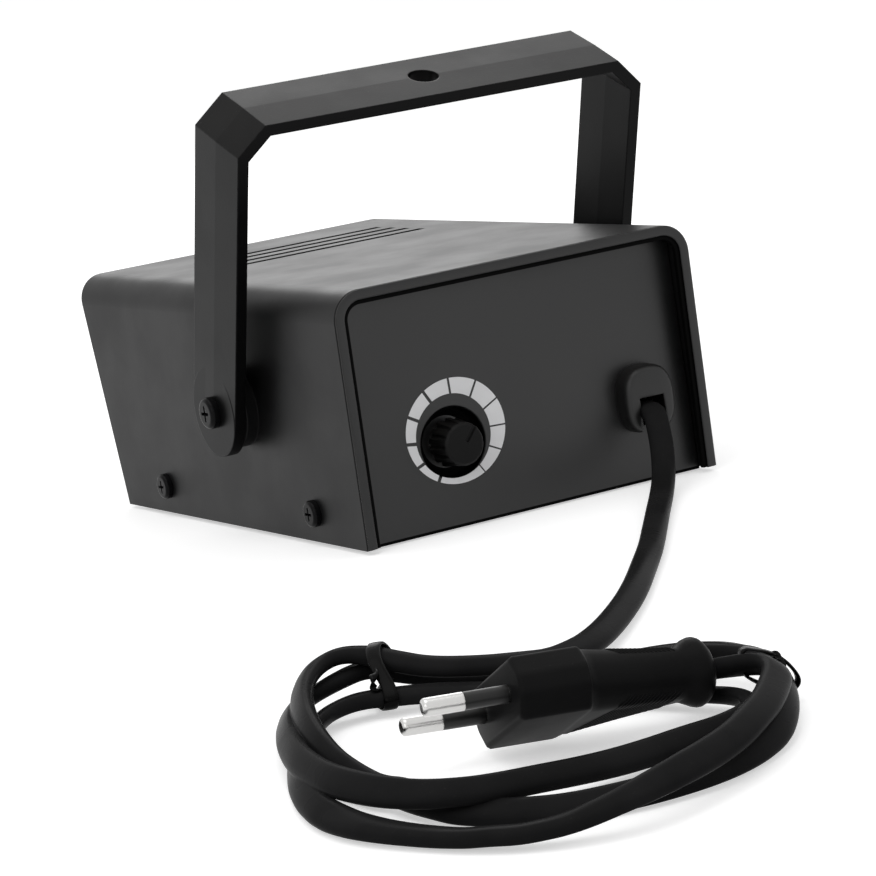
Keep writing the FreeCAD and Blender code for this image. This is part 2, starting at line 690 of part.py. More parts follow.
# ---------------------------------------------------------------------------------------------------------
# Tilt bracket and the hardware of its pivots
# ---------------------------------------------------------------------------------------------------------
def make_bracket():
    """Moulded strap with mitred corners, round arm ends, draft from a parting line and a centre hole."""
    body = new_body("mounting_bracket")
    strap = new_sketch(body, "XZ_Plane")
    side, chamfer, top = ARM_OUT, "bracket_chamfer", "bracket_reach"
    inner_top = "(bracket_reach - bracket_thickness)"
    corners = [(side, "0"), (side, top + " - " + chamfer), (side + " - " + chamfer, top)]
    inner = [(ARM_IN, "0"), (ARM_IN, inner_top + " - bracket_inner_chamfer"),
             (ARM_IN + " - bracket_inner_chamfer", inner_top)]
    mirrored = [("-(" + x + ")", z) for x, z in corners]
    inner_mirrored = [("-(" + x + ")", z) for x, z in inner]
    outline(strap, corners + mirrored[::-1] + inner_mirrored + inner[::-1])
    pad = body.newObject("PartDesign::Pad", "strap_pad")
    pad.Profile = strap
    pad.SideType = "Two sides"
    bind(pad, Length="bracket_strip / 2", Length2="bracket_strip / 2",
         TaperAngle="-bracket_draft", TaperAngle2="-bracket_draft")
    doc.recompute()
    eyes = new_sketch(body, "YZ_Plane")
    circle(eyes, "0", "0", "bracket_strip / 2")
    extrude(body, eyes, "(" + ARM_OUT + " - 0.1) * 2", symmetric=True)
    between = new_sketch(body, "YZ_Plane")
    circle(between, "0", "0", "bracket_strip / 2 + 1")
    cut(body, between, "(" + ARM_IN + " + 0.1) * 2", symmetric=True)
    bores = new_sketch(body, "YZ_Plane")
    circle(bores, "0", "0", "pivot_screw_radius + pivot_play")
    cut(body, bores, "(" + ARM_OUT + " + 1) * 2", symmetric=True)
    centre = new_sketch(body, "XY_Plane", inner_top + " - 2")
    circle(centre, "0", "0", "bracket_hole_radius")
    cut(body, centre, "bracket_thickness + 4", reverse=True)
    tilt = FreeCAD.Rotation(V(1, 0, 0), -num("bracket_rest_tilt"))
    body.Placement = FreeCAD.Placement(V(0, 0, 0), tilt)
    node(place(body, 0, PIVOT_ALONG, PIVOT_UP), "mounting_bracket")


def make_screw(label, shank_radius, shank_length, head_radius, head_height, slot_depth):
    """Pan-head screw with a cross recess, drawn along +X from under its head."""
    body = new_body(label)
    shank = new_sketch(body, "YZ_Plane")
    circle(shank, "0", "0", shank_radius)
    extrude(body, shank, shank_length, reverse=True)
    head = new_sketch(body, "YZ_Plane")
    circle(head, "0", "0", head_radius)
    extrude(body, head, head_height)
    height = body.Shape.BoundBox.XMax
    dress(body, "Fillet", lambda p: near(p.x, height), Radius="(%s) * 0.45" % head_height)
    for turned in (False, True):
        cross = new_sketch(body, "YZ_Plane", head_height)
        span, width = "(%s) * 0.5" % head_radius, "(%s) * 0.1" % head_radius
        wide, tall = (width, span) if turned else (span, width)
        rectangle(cross, "-" + wide, wide, "-" + tall, tall)
        cut(body, cross, slot_depth)
    return body


def set_on_side(body, side, x, y, z):
    """Put a screw drawn along +X on the left (+X) or right (-X) side of the housing."""
    turn = FreeCAD.Rotation() if side > 0 else FreeCAD.Rotation(V(0, 0, 1), 180)
    body.Placement = FreeCAD.Placement(V(0, 0, 0), turn)
    return place(body, x if side > 0 else "-(" + x + ")", y, z)


def make_pivots():
    """Pivot screws, washers and nuts, and the four screws that hold the cover to the tray."""
    screws, washers, nuts, cover_screws = [], [], [], []
    seat = ARM_OUT + " + touch_gap"
    nut_face = "(cover_width / 2 - cover_wall - seat_gap)"
    for name, side in (("left", 1), ("right", -1)):
        screw = make_screw("pivot_screw_" + name, "pivot_screw_radius",
                           seat + " - " + nut_face + " + pivot_nut_thickness + 1.5",
                           "pivot_head_radius", "pivot_head_height", 1.4)
        screws.append(set_on_side(screw, side, seat, PIVOT_ALONG, PIVOT_UP))
        first = BOSS_FACE + " + touch_gap"
        if side < 0:
            first = "-(" + BOSS_FACE + " + touch_gap + washer_thickness)"
        disc = rod("washer_disc_" + name, "x", "boss_radius + 0.6", "washer_thickness", first,
                   PIVOT_ALONG, PIVOT_UP)
        hole = rod("washer_hole_" + name, "x", "pivot_screw_radius + 0.2", "boss_height * 4",
                   first + " - boss_height", PIVOT_ALONG, PIVOT_UP)
        washers.append(subtract("pivot_washer_" + name, disc, [hole]))
        nut = doc.addObject("Part::Prism", "nut_blank_" + name)
        nut.Polygon = 6
        nut.Placement = FreeCAD.Placement(V(0, 0, 0), ALONG["x"])
        bind(nut, Circumradius="pivot_nut_radius", Height="pivot_nut_thickness")
        inner = nut_face + " - pivot_nut_thickness" if side > 0 else "-(" + nut_face + ")"
        place(nut, inner, PIVOT_ALONG, PIVOT_UP)
        bore = rod("nut_bore_" + name, "x", "pivot_screw_radius + hair_gap", "pivot_nut_thickness + 2",
                   inner + " - 1", PIVOT_ALONG, PIVOT_UP)
        nuts.append(subtract("pivot_nut_" + name, nut, [bore]))
        for place_name, along in (("front", SCREW_FRONT), ("rear", SCREW_REAR)):
            body = make_screw("cover_screw_%s_%s" % (name, place_name), "cover_screw_radius",
                              "cover_screw_length", "cover_screw_head_radius", "cover_screw_head_height", 1.2)
            cover_screws.append(set_on_side(body, side, "cover_width / 2 + touch_gap", along, SCREW_UP))
    node(group("pivot_screws", screws), "pivot_screws")
    node(group("pivot_washers", washers), "pivot_washers")
    node(group("pivot_nuts", nuts), "pivot_nuts")
    node(group("cover_screws", cover_screws), "cover_screws")


def make_feet():
    """Four low domed feet on stems that plug into the tray."""
    feet = []
    for side, along in FOOT_SPOTS:
        body = new_body("foot_%d" % len(feet))
        disc = new_sketch(body, "XY_Plane")
        circle(disc, "0", "0", "foot_radius")
        extrude(body, disc, "foot_drop - hair_gap")
        dress(body, "Fillet", lambda p: near(p.z, 0), Radius="foot_drop * 0.7")
        stem = new_sketch(body, "XY_Plane")
        circle(stem, "0", "0", "foot_stem_radius")
        extrude(body, stem, "foot_drop + tray_floor + 1")
        feet.append(place(body, side, along, 0))
    node(group("base_feet", feet), "base_feet")


# ---------------------------------------------------------------------------------------------------------
# Speed control
# ---------------------------------------------------------------------------------------------------------
def make_speed_control():
    """Potentiometer behind the well, its nut and shaft, and the fluted knob."""
    back = WELL_FLOOR + " - well_floor - seat_gap"
    can = rod("pot_can", "y", "pot_radius", "pot_length", "knob_side", back + " - pot_length", KNOB_UP)
    bushing = rod("pot_bushing", "y", "pot_bushing_radius", "well_floor + pot_nut_thickness + 0.6",
                  "knob_side", back, KNOB_UP)
    bore = rod("pot_bore", "y", "pot_shaft_radius + touch_gap", "pot_length * 3", "knob_side",
               back + " - 3", KNOB_UP)
    tabs = []
    for step in (-1, 0, 1):
        middle = "knob_side + pot_tab_pitch * %d" % step
        tabs.append(box("pot_tab_%d" % (step + 1),
                        (middle + " - pot_tab_width / 2", middle + " + pot_tab_width / 2"),
                        (back + " - pot_length + 1", back + " - pot_length + 1 + pot_tab_thickness"),
                        (KNOB_UP + " + pot_radius - 3", KNOB_UP + " + pot_radius + pot_tab_length")))
    body = fuse("pot_blank", [can, bushing] + tabs)
    node(subtract("potentiometer", body, [bore]), "potentiometer")

    nut = doc.addObject("Part::Prism", "pot_nut_blank")
    nut.Polygon = 6
    nut.Placement = FreeCAD.Placement(V(0, 0, 0), ALONG["y"])
    bind(nut, Circumradius="pot_nut_radius", Height="pot_nut_thickness")
    place(nut, "knob_side", WELL_FLOOR + " + touch_gap", KNOB_UP)
    nut_bore = rod("pot_nut_bore", "y", "pot_bushing_radius + hair_gap", "pot_nut_thickness + 2", "knob_side",
                   WELL_FLOOR + " - 1", KNOB_UP)
    node(subtract("pot_nut", nut, [nut_bore]), "pot_nut")

    knob_bottom = WELL_FLOOR + " + pot_nut_thickness + knob_clearance"
    shaft_length = knob_bottom + " + knob_length - knob_top_wall - fit_gap - (" + back + " - 2.5)"
    shaft = rod("shaft_rod", "y", "pot_shaft_radius", shaft_length, "knob_side", back + " - 2.5", KNOB_UP)
    flat = box("shaft_flat",
               ("knob_side + pot_shaft_radius - shaft_flat_depth", "knob_side + pot_shaft_radius + 3"),
               (knob_bottom + " + 0.2", knob_bottom + " + knob_length"),
               (KNOB_UP + " - pot_shaft_radius * 2", KNOB_UP + " + pot_shaft_radius * 2"))
    node(subtract("pot_shaft", shaft, [flat]), "pot_shaft")

    knob = new_body("speed_knob")
    profile = new_sketch(knob, "YZ_Plane")
    outline(profile, [("0", "0"), ("0", "knob_base_radius - knob_bevel"), ("knob_bevel", "knob_base_radius"),
                      ("knob_length - knob_bevel", "knob_cap_radius"),
                      ("knob_length", "knob_cap_radius - knob_bevel"), ("knob_length", "0")])
    turned = knob.newObject("PartDesign::Revolution", "knob_turned")
    turned.Profile = profile
    turned.ReferenceAxis = (origin_feature(knob, "Y_Axis"), [""])
    turned.Angle = 360
    doc.recompute()
    flute = new_sketch(knob, "XZ_Plane", 1)
    circle(flute, "0", "(knob_base_radius + knob_cap_radius) / 2 + knob_flute_radius * 0.35",
           "knob_flute_radius")
    groove = cut(knob, flute, "knob_length + 2")
    ring = knob.newObject("PartDesign::PolarPattern", "knob_flutes")
    ring.Originals = [groove]
    ring.Axis = (origin_feature(knob, "Y_Axis"), [""])
    ring.Angle = 360
    bind(ring, Occurrences="knob_flutes")
    knob.Tip = ring
    doc.recompute()
    mark = new_sketch(knob, "XZ_Plane", "-knob_length")
    rectangle(mark, "-knob_mark_width / 2", "knob_mark_width / 2", "0.8", "knob_cap_radius + 1")
    cut(knob, mark, 0.7, reverse=True)
    socket = new_sketch(knob, "XZ_Plane")
    circle(socket, "0", "0", "pot_shaft_radius + touch_gap")
    cut(knob, socket, "knob_length - knob_top_wall")
    knob.Placement = FreeCAD.Placement(V(0, 0, 0), FreeCAD.Rotation(V(0, 1, 0), num("knob_rest_turn")))
    node(place(knob, "knob_side", knob_bottom, KNOB_UP), "speed_knob")


def make_strain_relief():
    """Moulded cord exit: a hood with a round top and a channel below, a shank and a clip behind the panel."""
    body = new_body("strain_relief")
    left, right = RELIEF_SIDE + " - relief_width / 2", RELIEF_SIDE + " + relief_width / 2"
    shoulder = "foot_drop + relief_top - relief_width / 2"
    hood = new_sketch(body, "XZ_Plane", "-(" + PANEL_FACE + " + seat_gap)")
    rectangle(hood, left, right, "foot_drop + relief_bottom", shoulder)
    extrude(body, hood, "relief_protrusion - seat_gap", reverse=True)
    crown = new_sketch(body, "XZ_Plane", "-(" + PANEL_FACE + " + seat_gap)")
    circle(crown, RELIEF_SIDE, shoulder, "relief_width / 2")
    extrude(body, crown, "relief_protrusion - seat_gap", reverse=True)
    front = num("cover_length") / 2 - num("panel_setback") + num("relief_protrusion")
    dress(body, "Fillet", lambda p: near(p.y, front) and p.z > num("foot_drop") + num("relief_bottom") - 0.01,
          Radius=1.2)
    slot = new_sketch(body, "XZ_Plane", "-" + RELIEF_FRONT)
    rectangle(slot, RELIEF_SIDE + " - relief_slot_width / 2", RELIEF_SIDE + " + relief_slot_width / 2",
              "foot_drop + relief_bottom - 1", "foot_drop + relief_slot_top")
    cut(body, slot, "relief_protrusion - relief_back_wall", reverse=True)
    shank = new_sketch(body, "XZ_Plane", "-(" + PANEL_FACE + " + 0.5)")
    rectangle(shank, RELIEF_SIDE + " - relief_shank_width / 2", RELIEF_SIDE + " + relief_shank_width / 2",
              CORD_UP + " - relief_shank_height / 2", CORD_UP + " + relief_shank_height / 2")
    extrude(body, shank, "panel_thickness + relief_clip_thickness + fit_gap + 0.5")
    clip = new_sketch(body, "XZ_Plane", "-" + PANEL_BACK + " + fit_gap")
    rectangle(clip, RELIEF_SIDE + " - relief_clip_width / 2", RELIEF_SIDE + " + relief_clip_width / 2",
              CORD_UP + " - relief_shank_height / 2", CORD_UP + " + relief_shank_height / 2")
    extrude(body, clip, "relief_clip_thickness")
    channel = new_sketch(body, "XZ_Plane", "-(" + RELIEF_FRONT + " + 1)")
    circle(channel, RELIEF_SIDE, CORD_UP, "cord_channel / 2")
    cut(body, channel, "relief_protrusion + panel_thickness + relief_clip_thickness + 6", reverse=True)
    node(body, "strain_relief")


# ---------------------------------------------------------------------------------------------------------
# Circuit board and its parts
# ---------------------------------------------------------------------------------------------------------
def make_board():
    """Board on four standoffs, with the power and trigger parts of the flash circuit."""
    blank = box("board_blank", ("-" + BOARD_HALF, BOARD_HALF), (BOARD_FRONT, BOARD_REAR),
                (BOARD_UNDER + " + hair_gap", BOARD_TOP))
    holes, standoffs, screws = [], [], []
    hole_side = "(" + BOARD_HALF + " - board_hole_inset)"
    for i, side in enumerate((hole_side, "-" + hole_side)):
        for j, along in enumerate((BOARD_FRONT + " + board_hole_inset", BOARD_REAR + " - board_hole_inset")):
            tag = "%d%d" % (i, j)
            holes.append(rod("board_hole_" + tag, "z", "board_screw_radius + seat_gap", "board_thickness * 6",
                             side, along, BOARD_UNDER + " - board_thickness * 2"))
            post = rod("standoff_post_" + tag, "z", "standoff_radius", "standoff_height - hair_gap", side, along,
                       TRAY_TOP + " + hair_gap")
            bore = rod("standoff_bore_" + tag, "z", "board_screw_radius + touch_gap", "standoff_height", side,
                       along, TRAY_TOP + " + 1.2")
            standoffs.append(subtract("standoff_" + tag, post, [bore]))
            screws.append(fuse("board_screw_" + tag, [
                rod("board_shank_" + tag, "z", "board_screw_radius", "board_screw_length + seat_gap", side, along,
                    BOARD_TOP + " - board_screw_length"),
                rod("board_head_" + tag, "z", "board_screw_radius * 1.9", "board_screw_head_height", side, along,
                    BOARD_TOP + " + touch_gap")]))
    node(subtract("circuit_board", blank, holes), "circuit_board")
    node(group("board_standoffs", standoffs), "board_standoffs")
    node(group("board_screws", screws), "board_screws")

    left, right, front, rear = "-" + BOARD_HALF, BOARD_HALF, BOARD_FRONT, BOARD_REAR
    seat = BOARD_TOP + " + lead_gap"
    caps = [rod("capacitor_can_%d" % i, "y", "capacitor_radius", "capacitor_length",
                left + " + capacitor_side + (capacitor_radius * 2 + capacitor_gap) * %d" % i,
                front + " + part_front_inset", seat + " + capacitor_radius") for i in range(2)]
    node(group("storage_capacitors", caps), "storage_capacitors")

    core_x = (right + " - part_side_gap - transformer_core", right + " - part_side_gap")
    core_y = front + " + part_front_inset + part_gap"
    core = box("core", core_x, (core_y, core_y + " + transformer_length"), (seat, seat + " + 5"))
    winding = rod("winding", "y", "transformer_core / 2 - 1", "transformer_length - part_gap * 2",
                  core_x[0] + " + transformer_core / 2", core_y + " + part_gap",
                  seat + " + transformer_core / 2 + 1")
    cheeks = [box("cheek_%d" % i, core_x, (y, y + " + part_gap"), (seat, seat + " + transformer_core + 2"))
              for i, y in enumerate((core_y, core_y + " + transformer_length - part_gap"))]
    node(fuse("trigger_transformer", [core, winding] + cheeks), "trigger_transformer")

    terminal_front = "(" + rear + " - terminal_edge_gap - terminal_depth)"
    resistors = []
    for i in range(2):
        x = left + " + resistor_side + (resistor_width + resistor_gap) * %d" % i
        resistors.append(box("resistor_%d" % i, (x, x + " + resistor_width"),
                             (terminal_front + " - part_gap - resistor_length", terminal_front + " - part_gap"),
                             (seat, seat + " + resistor_width")))
    node(group("power_resistors", resistors), "power_resistors")

    column = left + " + middle_column"
    diodes = [rod("diode_%d" % i, "y", "diode_radius", "diode_length", column + " + diode_pitch * %d" % i,
                  rear + " - diode_row", seat + " + diode_radius") for i in range(4)]
    node(group("rectifier_diodes", diodes), "rectifier_diodes")
    film = box("film_block", (column, column + " + film_length"),
               (rear + " - film_row", rear + " - film_row + film_width"), (seat, seat + " + film_height"))
    node(group("film_capacitor", [film]), "film_capacitor")

    fuse_x, fuse_y, fuse_z = right + " - fuse_side", rear + " - fuse_row", seat + " + fuse_radius + fuse_lift"
    barrel = rod("fuse_barrel", "y", "fuse_radius", "fuse_length", fuse_x, fuse_y, fuse_z)
    clips = [box("fuse_clip_%d" % i, (fuse_x + " - fuse_radius - 1", fuse_x + " + fuse_radius + 1"),
                 (y, y + " + fuse_clip_width"), (seat, fuse_z + " + 1"))
             for i, y in enumerate((fuse_y + " + 1", fuse_y + " + fuse_length - 1 - fuse_clip_width"))]
    node(fuse("mains_fuse", [barrel] + clips), "mains_fuse")

    tab_x, tab_y = right + " - thyristor_side", rear + " - thyristor_row"
    tab = box("thyristor_tab", (tab_x, tab_x + " + thyristor_width"), (tab_y, tab_y + " + thyristor_thickness"),
              (seat, seat + " + thyristor_height"))
    hole = rod("thyristor_hole", "y", "thyristor_hole_radius", "thyristor_thickness + 2",
               tab_x + " + thyristor_width / 2", tab_y + " - 1", seat + " + thyristor_height - 3")
    node(subtract("thyristor", tab, [hole]), "thyristor")

    block_x = left + " + terminal_side"
    block = box("terminal_blank", (block_x, block_x + " + terminal_width"),
                (terminal_front, terminal_front + " + terminal_depth"), (seat, seat + " + terminal_height"))
    wells = [rod("terminal_well_%d" % i, "z", "terminal_well_radius", "terminal_well_depth + 2",
                 block_x + " + terminal_width / 6 * %d" % (2 * i + 1), terminal_front + " + terminal_depth / 2",
                 seat + " + terminal_height - terminal_well_depth") for i in range(3)]
    node(subtract("terminal_block", block, wells), "terminal_block")


# ---------------------------------------------------------------------------------------------------------
# Cord, coil, ties and plug
# ---------------------------------------------------------------------------------------------------------
# Centre of the plug's pin face, and its heading in the plan.
PLUG_FACE = V(155.1, 337.3, 13.4)
PLUG_YAW = -10.1
PLUG_PITCH = -3.4
PLUG_ROLL = 23.6

# Outlines of the coil in the plan: the outer edge of its turns and the edge of the open middle.
COIL_OUTER = [(141, 242), (168, 248), (198, 298), (207, 345), (203, 392), (172, 408), (118, 401), (92, 374),
              (89, 330), (117, 264)]
COIL_INNER = [(147, 262), (165, 273), (180, 316), (177, 351), (150, 367), (119, 371), (102, 357), (105, 333),
              (130, 285)]
# Where the two ties hold the coil, and the direction of the cord there.
TIES = [(141, 257, -28), (97, 336, -84)]


def rounded_path(points, closed=False):
    """Straight runs through the points, joined by tangent arcs as large as their runs allow."""
    count = len(points)
    bends = []
    for i in range(count):
        if not closed and i in (0, count - 1):
            bends.append((points[i], points[i], None))
            continue
        before, here, after = points[i - 1], points[i], points[(i + 1) % count]
        back, ahead = before - here, after - here
        shorter = min(back.Length, ahead.Length)
        back.normalize()
        ahead.normalize()
        half_turn = (math.pi - back.getAngle(ahead)) / 2
        reach = 0.45 * shorter
        radius = reach / math.tan(half_turn)
        bisector = (back + ahead).normalize()
        middle = here + bisector * (radius / math.cos(half_turn) - radius)
        bends.append((here + back * reach, here + ahead * reach, (middle, radius)))
    edges, radii = [], []
    for i in range(count):
        start, end, bend = bends[i]
        if bend:
            edges.append(Part.Arc(start, bend[0], end).toShape())
            radii.append(round(bend[1], 1))
        if closed or i < count - 1:
            edges.append(Part.LineSegment(end, bends[(i + 1) % count][0]).toShape())
    return Part.Wire(Part.__sortEdges__(edges)), radii


def make_tube(label, points):
    """Round tube of the cord's diameter along a route; prints its bends and compares its volume."""
    path, radii = rounded_path(points)
    heading = points[1] - points[0]
    section = Part.Wire(Part.makeCircle(num("cord_diameter") / 2, points[0], heading))
    tube = path.makePipeShell([section], True, True)
    expected = math.pi * num("cord_diameter") ** 2 / 4 * path.Length
    print("%s: length %.1f, bend radii %s, volume %.1f of %.1f"
          % (label, path.Length, radii, tube.Volume, expected))
    if abs(tube.Volume / expected - 1) > 0.01:
        raise RuntimeError(label + ": the tube's volume is wrong")
    feature = doc.addObject("Part::Feature", label)
    feature.Shape = tube
    node(feature, label)


def plug_frame():
    turn = FreeCAD.Rotation(V(0, 0, 1), PLUG_YAW).multiply(FreeCAD.Rotation(V(0, 1, 0), PLUG_PITCH))
    turn = turn.multiply(FreeCAD.Rotation(V(1, 0, 0), PLUG_ROLL))
    return FreeCAD.Placement(PLUG_FACE, turn)


def cord_start():
    """First point of the cord, inside the strain relief."""
    y = num("cover_length") / 2 - num("panel_setback") - num("panel_thickness") - num("relief_clip_thickness")
    return V(num("relief_inset") - num("cover_width") / 2, y, num("foot_drop") + num("cord_up"))


def make_cord():
    """Cord from the strain relief down to the floor and into the coil, the coil, and the tail to the plug."""
    lead = [cord_start(), V(-40.2, 97, 21.9), V(-34.5, 113, 13.2), V(-23, 130, 5.6), V(-6, 149, 3.6),
            V(15, 174, 3.4), V(36, 203, 3.5), V(56, 229, 3.4), V(76, 251, 3.6), V(92, 264, 4.2),
            V(105, 268.5, 5.0), V(117, 267, 5.6), V(127, 260, 6.0)]
    make_tube("cord_lead", lead)
    collar = V(-(num("plug_block_length") + num("plug_grip_length") + num("plug_collar_length")), 0, 0)
    tail = [plug_frame().multVec(collar), plug_frame().multVec(collar + V(-8, 0, 0)), V(90.8, 351.6, 9.7),
            V(91.4, 361.8, 9.5), V(99, 367.4, 9.4)]
    make_tube("cord_tail", tail)


def coil_outline(corners):
    points = [V(x, y, 0) for x, y in corners]
    return rounded_path(points, closed=True)[0]


def tie_block(x, y, heading, width, length, low, high):
    """Block centred on a tie, its length across the coil."""
    block = Part.makeBox(width, length, high - low, V(-width / 2, -length / 2, low))
    block.Placement = FreeCAD.Placement(V(x, y, 0), FreeCAD.Rotation(V(0, 0, 1), heading))
    return block


def make_coil():
    """Closed outer shape of the wound cord, waisted where the two ties hold it."""
    height, rounding = num("coil_height"), num("coil_rounding")
    ring = Part.Face(coil_outline(COIL_OUTER)).cut(Part.Face(coil_outline(COIL_INNER)))
    solid = ring.extrude(V(0, 0, height))
    top = [e for e in solid.Edges if e.BoundBox.ZMin > height - 0.01]
    solid = solid.makeFillet(rounding, top)
    bite, thick, wide = num("tie_bite"), num("tie_thickness"), num("tie_width")
    bands = []
    for x, y, heading in TIES:
        section = tie_block(x, y, heading, wide, 60, 0, height).common(solid)
        section = max(section.Solids, key=lambda s: -(s.CenterOfMass - V(x, y, 5)).Length)
        across = V(-math.sin(math.radians(heading)), math.cos(math.radians(heading)), 0)
        offsets = [(v.Point - V(x, y, 0)).dot(across) for v in section.Vertexes]
        shift, span = (max(offsets) + min(offsets)) / 2, max(offsets) - min(offsets)
        cx, cy = x + across.x * shift, y + across.y * shift
        groove_core = tie_block(cx, cy, heading, wide * 3, span - 2 * bite, bite + 0.25, height - bite)
        groove = tie_block(cx, cy, heading, wide + 0.4, span + 8, -1, height + 4).cut(groove_core)
        solid = solid.cut(groove)
        gap = 0.15
        inner = tie_block(cx, cy, heading, wide * 3, span - 2 * bite + 2 * gap, bite + 0.25 - gap,
                          height - bite + gap)
        outer = tie_block(cx, cy, heading, wide, span - 2 * bite + 2 * gap + 2 * thick, 0.02,
                          height - bite + gap + thick)
        bands.append(outer.cut(inner))
    coil = doc.addObject("Part::Feature", "cord_coil")
    coil.Shape = solid
    node(coil, "cord_coil")
    ties = doc.addObject("Part::Feature", "cord_ties")
    ties.Shape = Part.makeCompound(bands)
    node(ties, "cord_ties")


def make_plug():
    """Flat two-pin plug: block with bevelled ends, tapering ribbed grip, flared collar, sleeved pins."""
    body = new_body("plug_body")
    half, end, thick = "plug_width / 2", "plug_end_width / 2", "plug_thickness / 2"
    block = new_sketch(body, "YZ_Plane")
    outline(block, [("-" + half, "-2"), ("-" + end, "-" + thick), (end, "-" + thick), (half, "-2"),
                    (half, "2"), (end, thick), ("-" + end, thick), ("-" + half, "2")])
    extrude(body, block, "plug_block_length", reverse=True)
    front = 0.0
    dress(body, "Chamfer", lambda p: near(p.x, front), Size=0.8)
    start = new_sketch(body, "YZ_Plane", "-plug_block_length + 0.01")
    rectangle(start, "-plug_end_width / 2 + 1", "plug_end_width / 2 - 1", "-plug_thickness / 2 + 0.8",
              "plug_thickness / 2 - 0.8")
    finish = new_sketch(body, "YZ_Plane", "-(plug_block_length + plug_grip_length)")
    rectangle(finish, "-plug_neck_width / 2", "plug_neck_width / 2", "-plug_neck_width / 2 + 1",
              "plug_neck_width / 2 - 1")
    grip = body.newObject("PartDesign::AdditiveLoft", "plug_grip")
    grip.Profile = start
    grip.Sections = [finish]
    doc.recompute()
    ribs = new_sketch(body, "XY_Plane")
    for number in range(6):
        back = "(4 + 3.2 * %d)" % number
        taper = "(plug_end_width / 2 - 1 - plug_neck_width / 2) / plug_grip_length"
        depth = "(plug_end_width / 2 - 1 - %s * %s)" % (taper, back)
        for sign in ("", "-"):
            rectangle(ribs, "-plug_block_length - %s - 0.6" % back, "-plug_block_length - %s + 0.6" % back,
                      sign + "(" + depth + " - 0.7)", sign + "(" + depth + " + 4)")
    cut(body, ribs, "plug_thickness + 4", symmetric=True)
    collar = new_sketch(body, "YZ_Plane", "-(plug_block_length + plug_grip_length) + 0.01")
    circle(collar, "0", "0", "plug_collar_radius")
    extrude(body, collar, "plug_collar_length + 0.01", reverse=True)
    back_end = -(num("plug_block_length") + num("plug_grip_length") + num("plug_collar_length"))
    dress(body, "Fillet", lambda p: near(p.x, back_end) and near(p.Length, math.hypot(
        back_end, num("plug_collar_radius"))), Radius="plug_collar_length * 0.45")
    bores = new_sketch(body, "YZ_Plane", 1)
    for sign in ("", "-"):
        circle(bores, sign + "pin_spacing / 2", "0", "pin_radius + 0.15")
    cut(body, bores, 9)
    body.Placement = plug_frame()
    node(body, "plug_body")

    pins, sleeves = [], []
    for number, side in enumerate((1, -1)):
        lean = FreeCAD.Rotation(V(0, 0, 1), -side * num("pin_lean"))
        spot = plug_frame().multiply(FreeCAD.Placement(V(0, side * num("pin_spacing") / 2, 0), lean))
        pin = new_body("pin_%d" % number)
        tip = new_sketch(pin, "YZ_Plane", "0.05")
        circle(tip, "0", "0", "pin_radius - 0.25")
        extrude(pin, tip, "pin_length - 0.05")
        bright = new_sketch(pin, "YZ_Plane", "pin_sleeve_length")
        circle(bright, "0", "0", "pin_radius")
        extrude(pin, bright, "pin_length - pin_sleeve_length")
        dress(pin, "Fillet", lambda p: near(p.x, num("pin_length")), Radius=0.9)
        pin.Placement = spot
        pins.append(pin)
        sleeve = new_body("sleeve_%d" % number)
        ring = new_sketch(sleeve, "YZ_Plane", "0.3")
        circle(ring, "0", "0", "pin_radius - 0.05")
        circle(ring, "0", "0", "pin_radius - 0.2")
        extrude(sleeve, ring, "pin_sleeve_length - 0.35")
        sleeve.Placement = spot
        sleeves.append(sleeve)
    node(group("plug_pins", pins), "plug_pins")
    node(group("pin_sleeves", sleeves), "pin_sleeves")


make_cover()
make_tray()
make_rear_panel()
make_lamp_end()
make_bracket()
make_pivots()
make_feet()
make_speed_control()
make_strain_relief()
make_board()
make_cord()
make_coil()
make_plug()
doc.recompute()

# ---------------------------------------------------------------------------------------------------------
# Check every object, then write one file for each node.
# ---------------------------------------------------------------------------------------------------------
for obj in doc.Objects:
    if "Invalid" in obj.State or "Error" in obj.State:
        raise RuntimeError("failed object: " + obj.Label)
for obj in nodes:
    if obj.Shape.isNull() or not obj.Shape.isValid() or not obj.Shape.Solids:
        raise RuntimeError("bad shape: " + obj.Label)

os.makedirs("parts", exist_ok=True)
for obj in nodes:
    obj.Shape.exportStep("parts/%s.step" % obj.Label)
print("%d nodes written" % len(nodes))
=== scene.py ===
# %% [markdown]
# # A small xenon stroboscope on a white table
# The housing, the bracket and the works inside come from the CAD model. This lesson gives them their
# finishes and makes the pieces that CAD only blocks out or leaves out: the wound flat cord with its ties, the
# moulded plug, the strain relief, the printed dial, the bead on the cover's edge and the heads of the screws.

# %% Load the CAD frame
import math

import bmesh
import bpy
import numpy as np
from mathutils import Matrix, Vector


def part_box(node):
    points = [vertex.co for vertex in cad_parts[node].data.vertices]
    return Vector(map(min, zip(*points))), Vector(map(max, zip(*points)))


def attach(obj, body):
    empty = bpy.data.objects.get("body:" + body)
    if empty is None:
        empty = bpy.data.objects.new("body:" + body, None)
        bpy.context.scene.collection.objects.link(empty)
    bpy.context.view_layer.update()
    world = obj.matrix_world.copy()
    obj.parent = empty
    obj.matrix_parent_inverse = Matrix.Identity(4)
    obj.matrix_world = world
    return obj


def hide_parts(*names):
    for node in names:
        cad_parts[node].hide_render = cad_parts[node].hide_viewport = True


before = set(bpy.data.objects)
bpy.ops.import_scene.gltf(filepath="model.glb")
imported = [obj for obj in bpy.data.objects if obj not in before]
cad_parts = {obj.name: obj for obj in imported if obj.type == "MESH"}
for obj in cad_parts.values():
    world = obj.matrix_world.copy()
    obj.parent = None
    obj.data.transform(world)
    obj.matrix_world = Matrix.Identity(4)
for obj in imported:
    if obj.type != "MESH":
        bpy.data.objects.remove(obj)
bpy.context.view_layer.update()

MM = 0.001
scene = bpy.context.scene

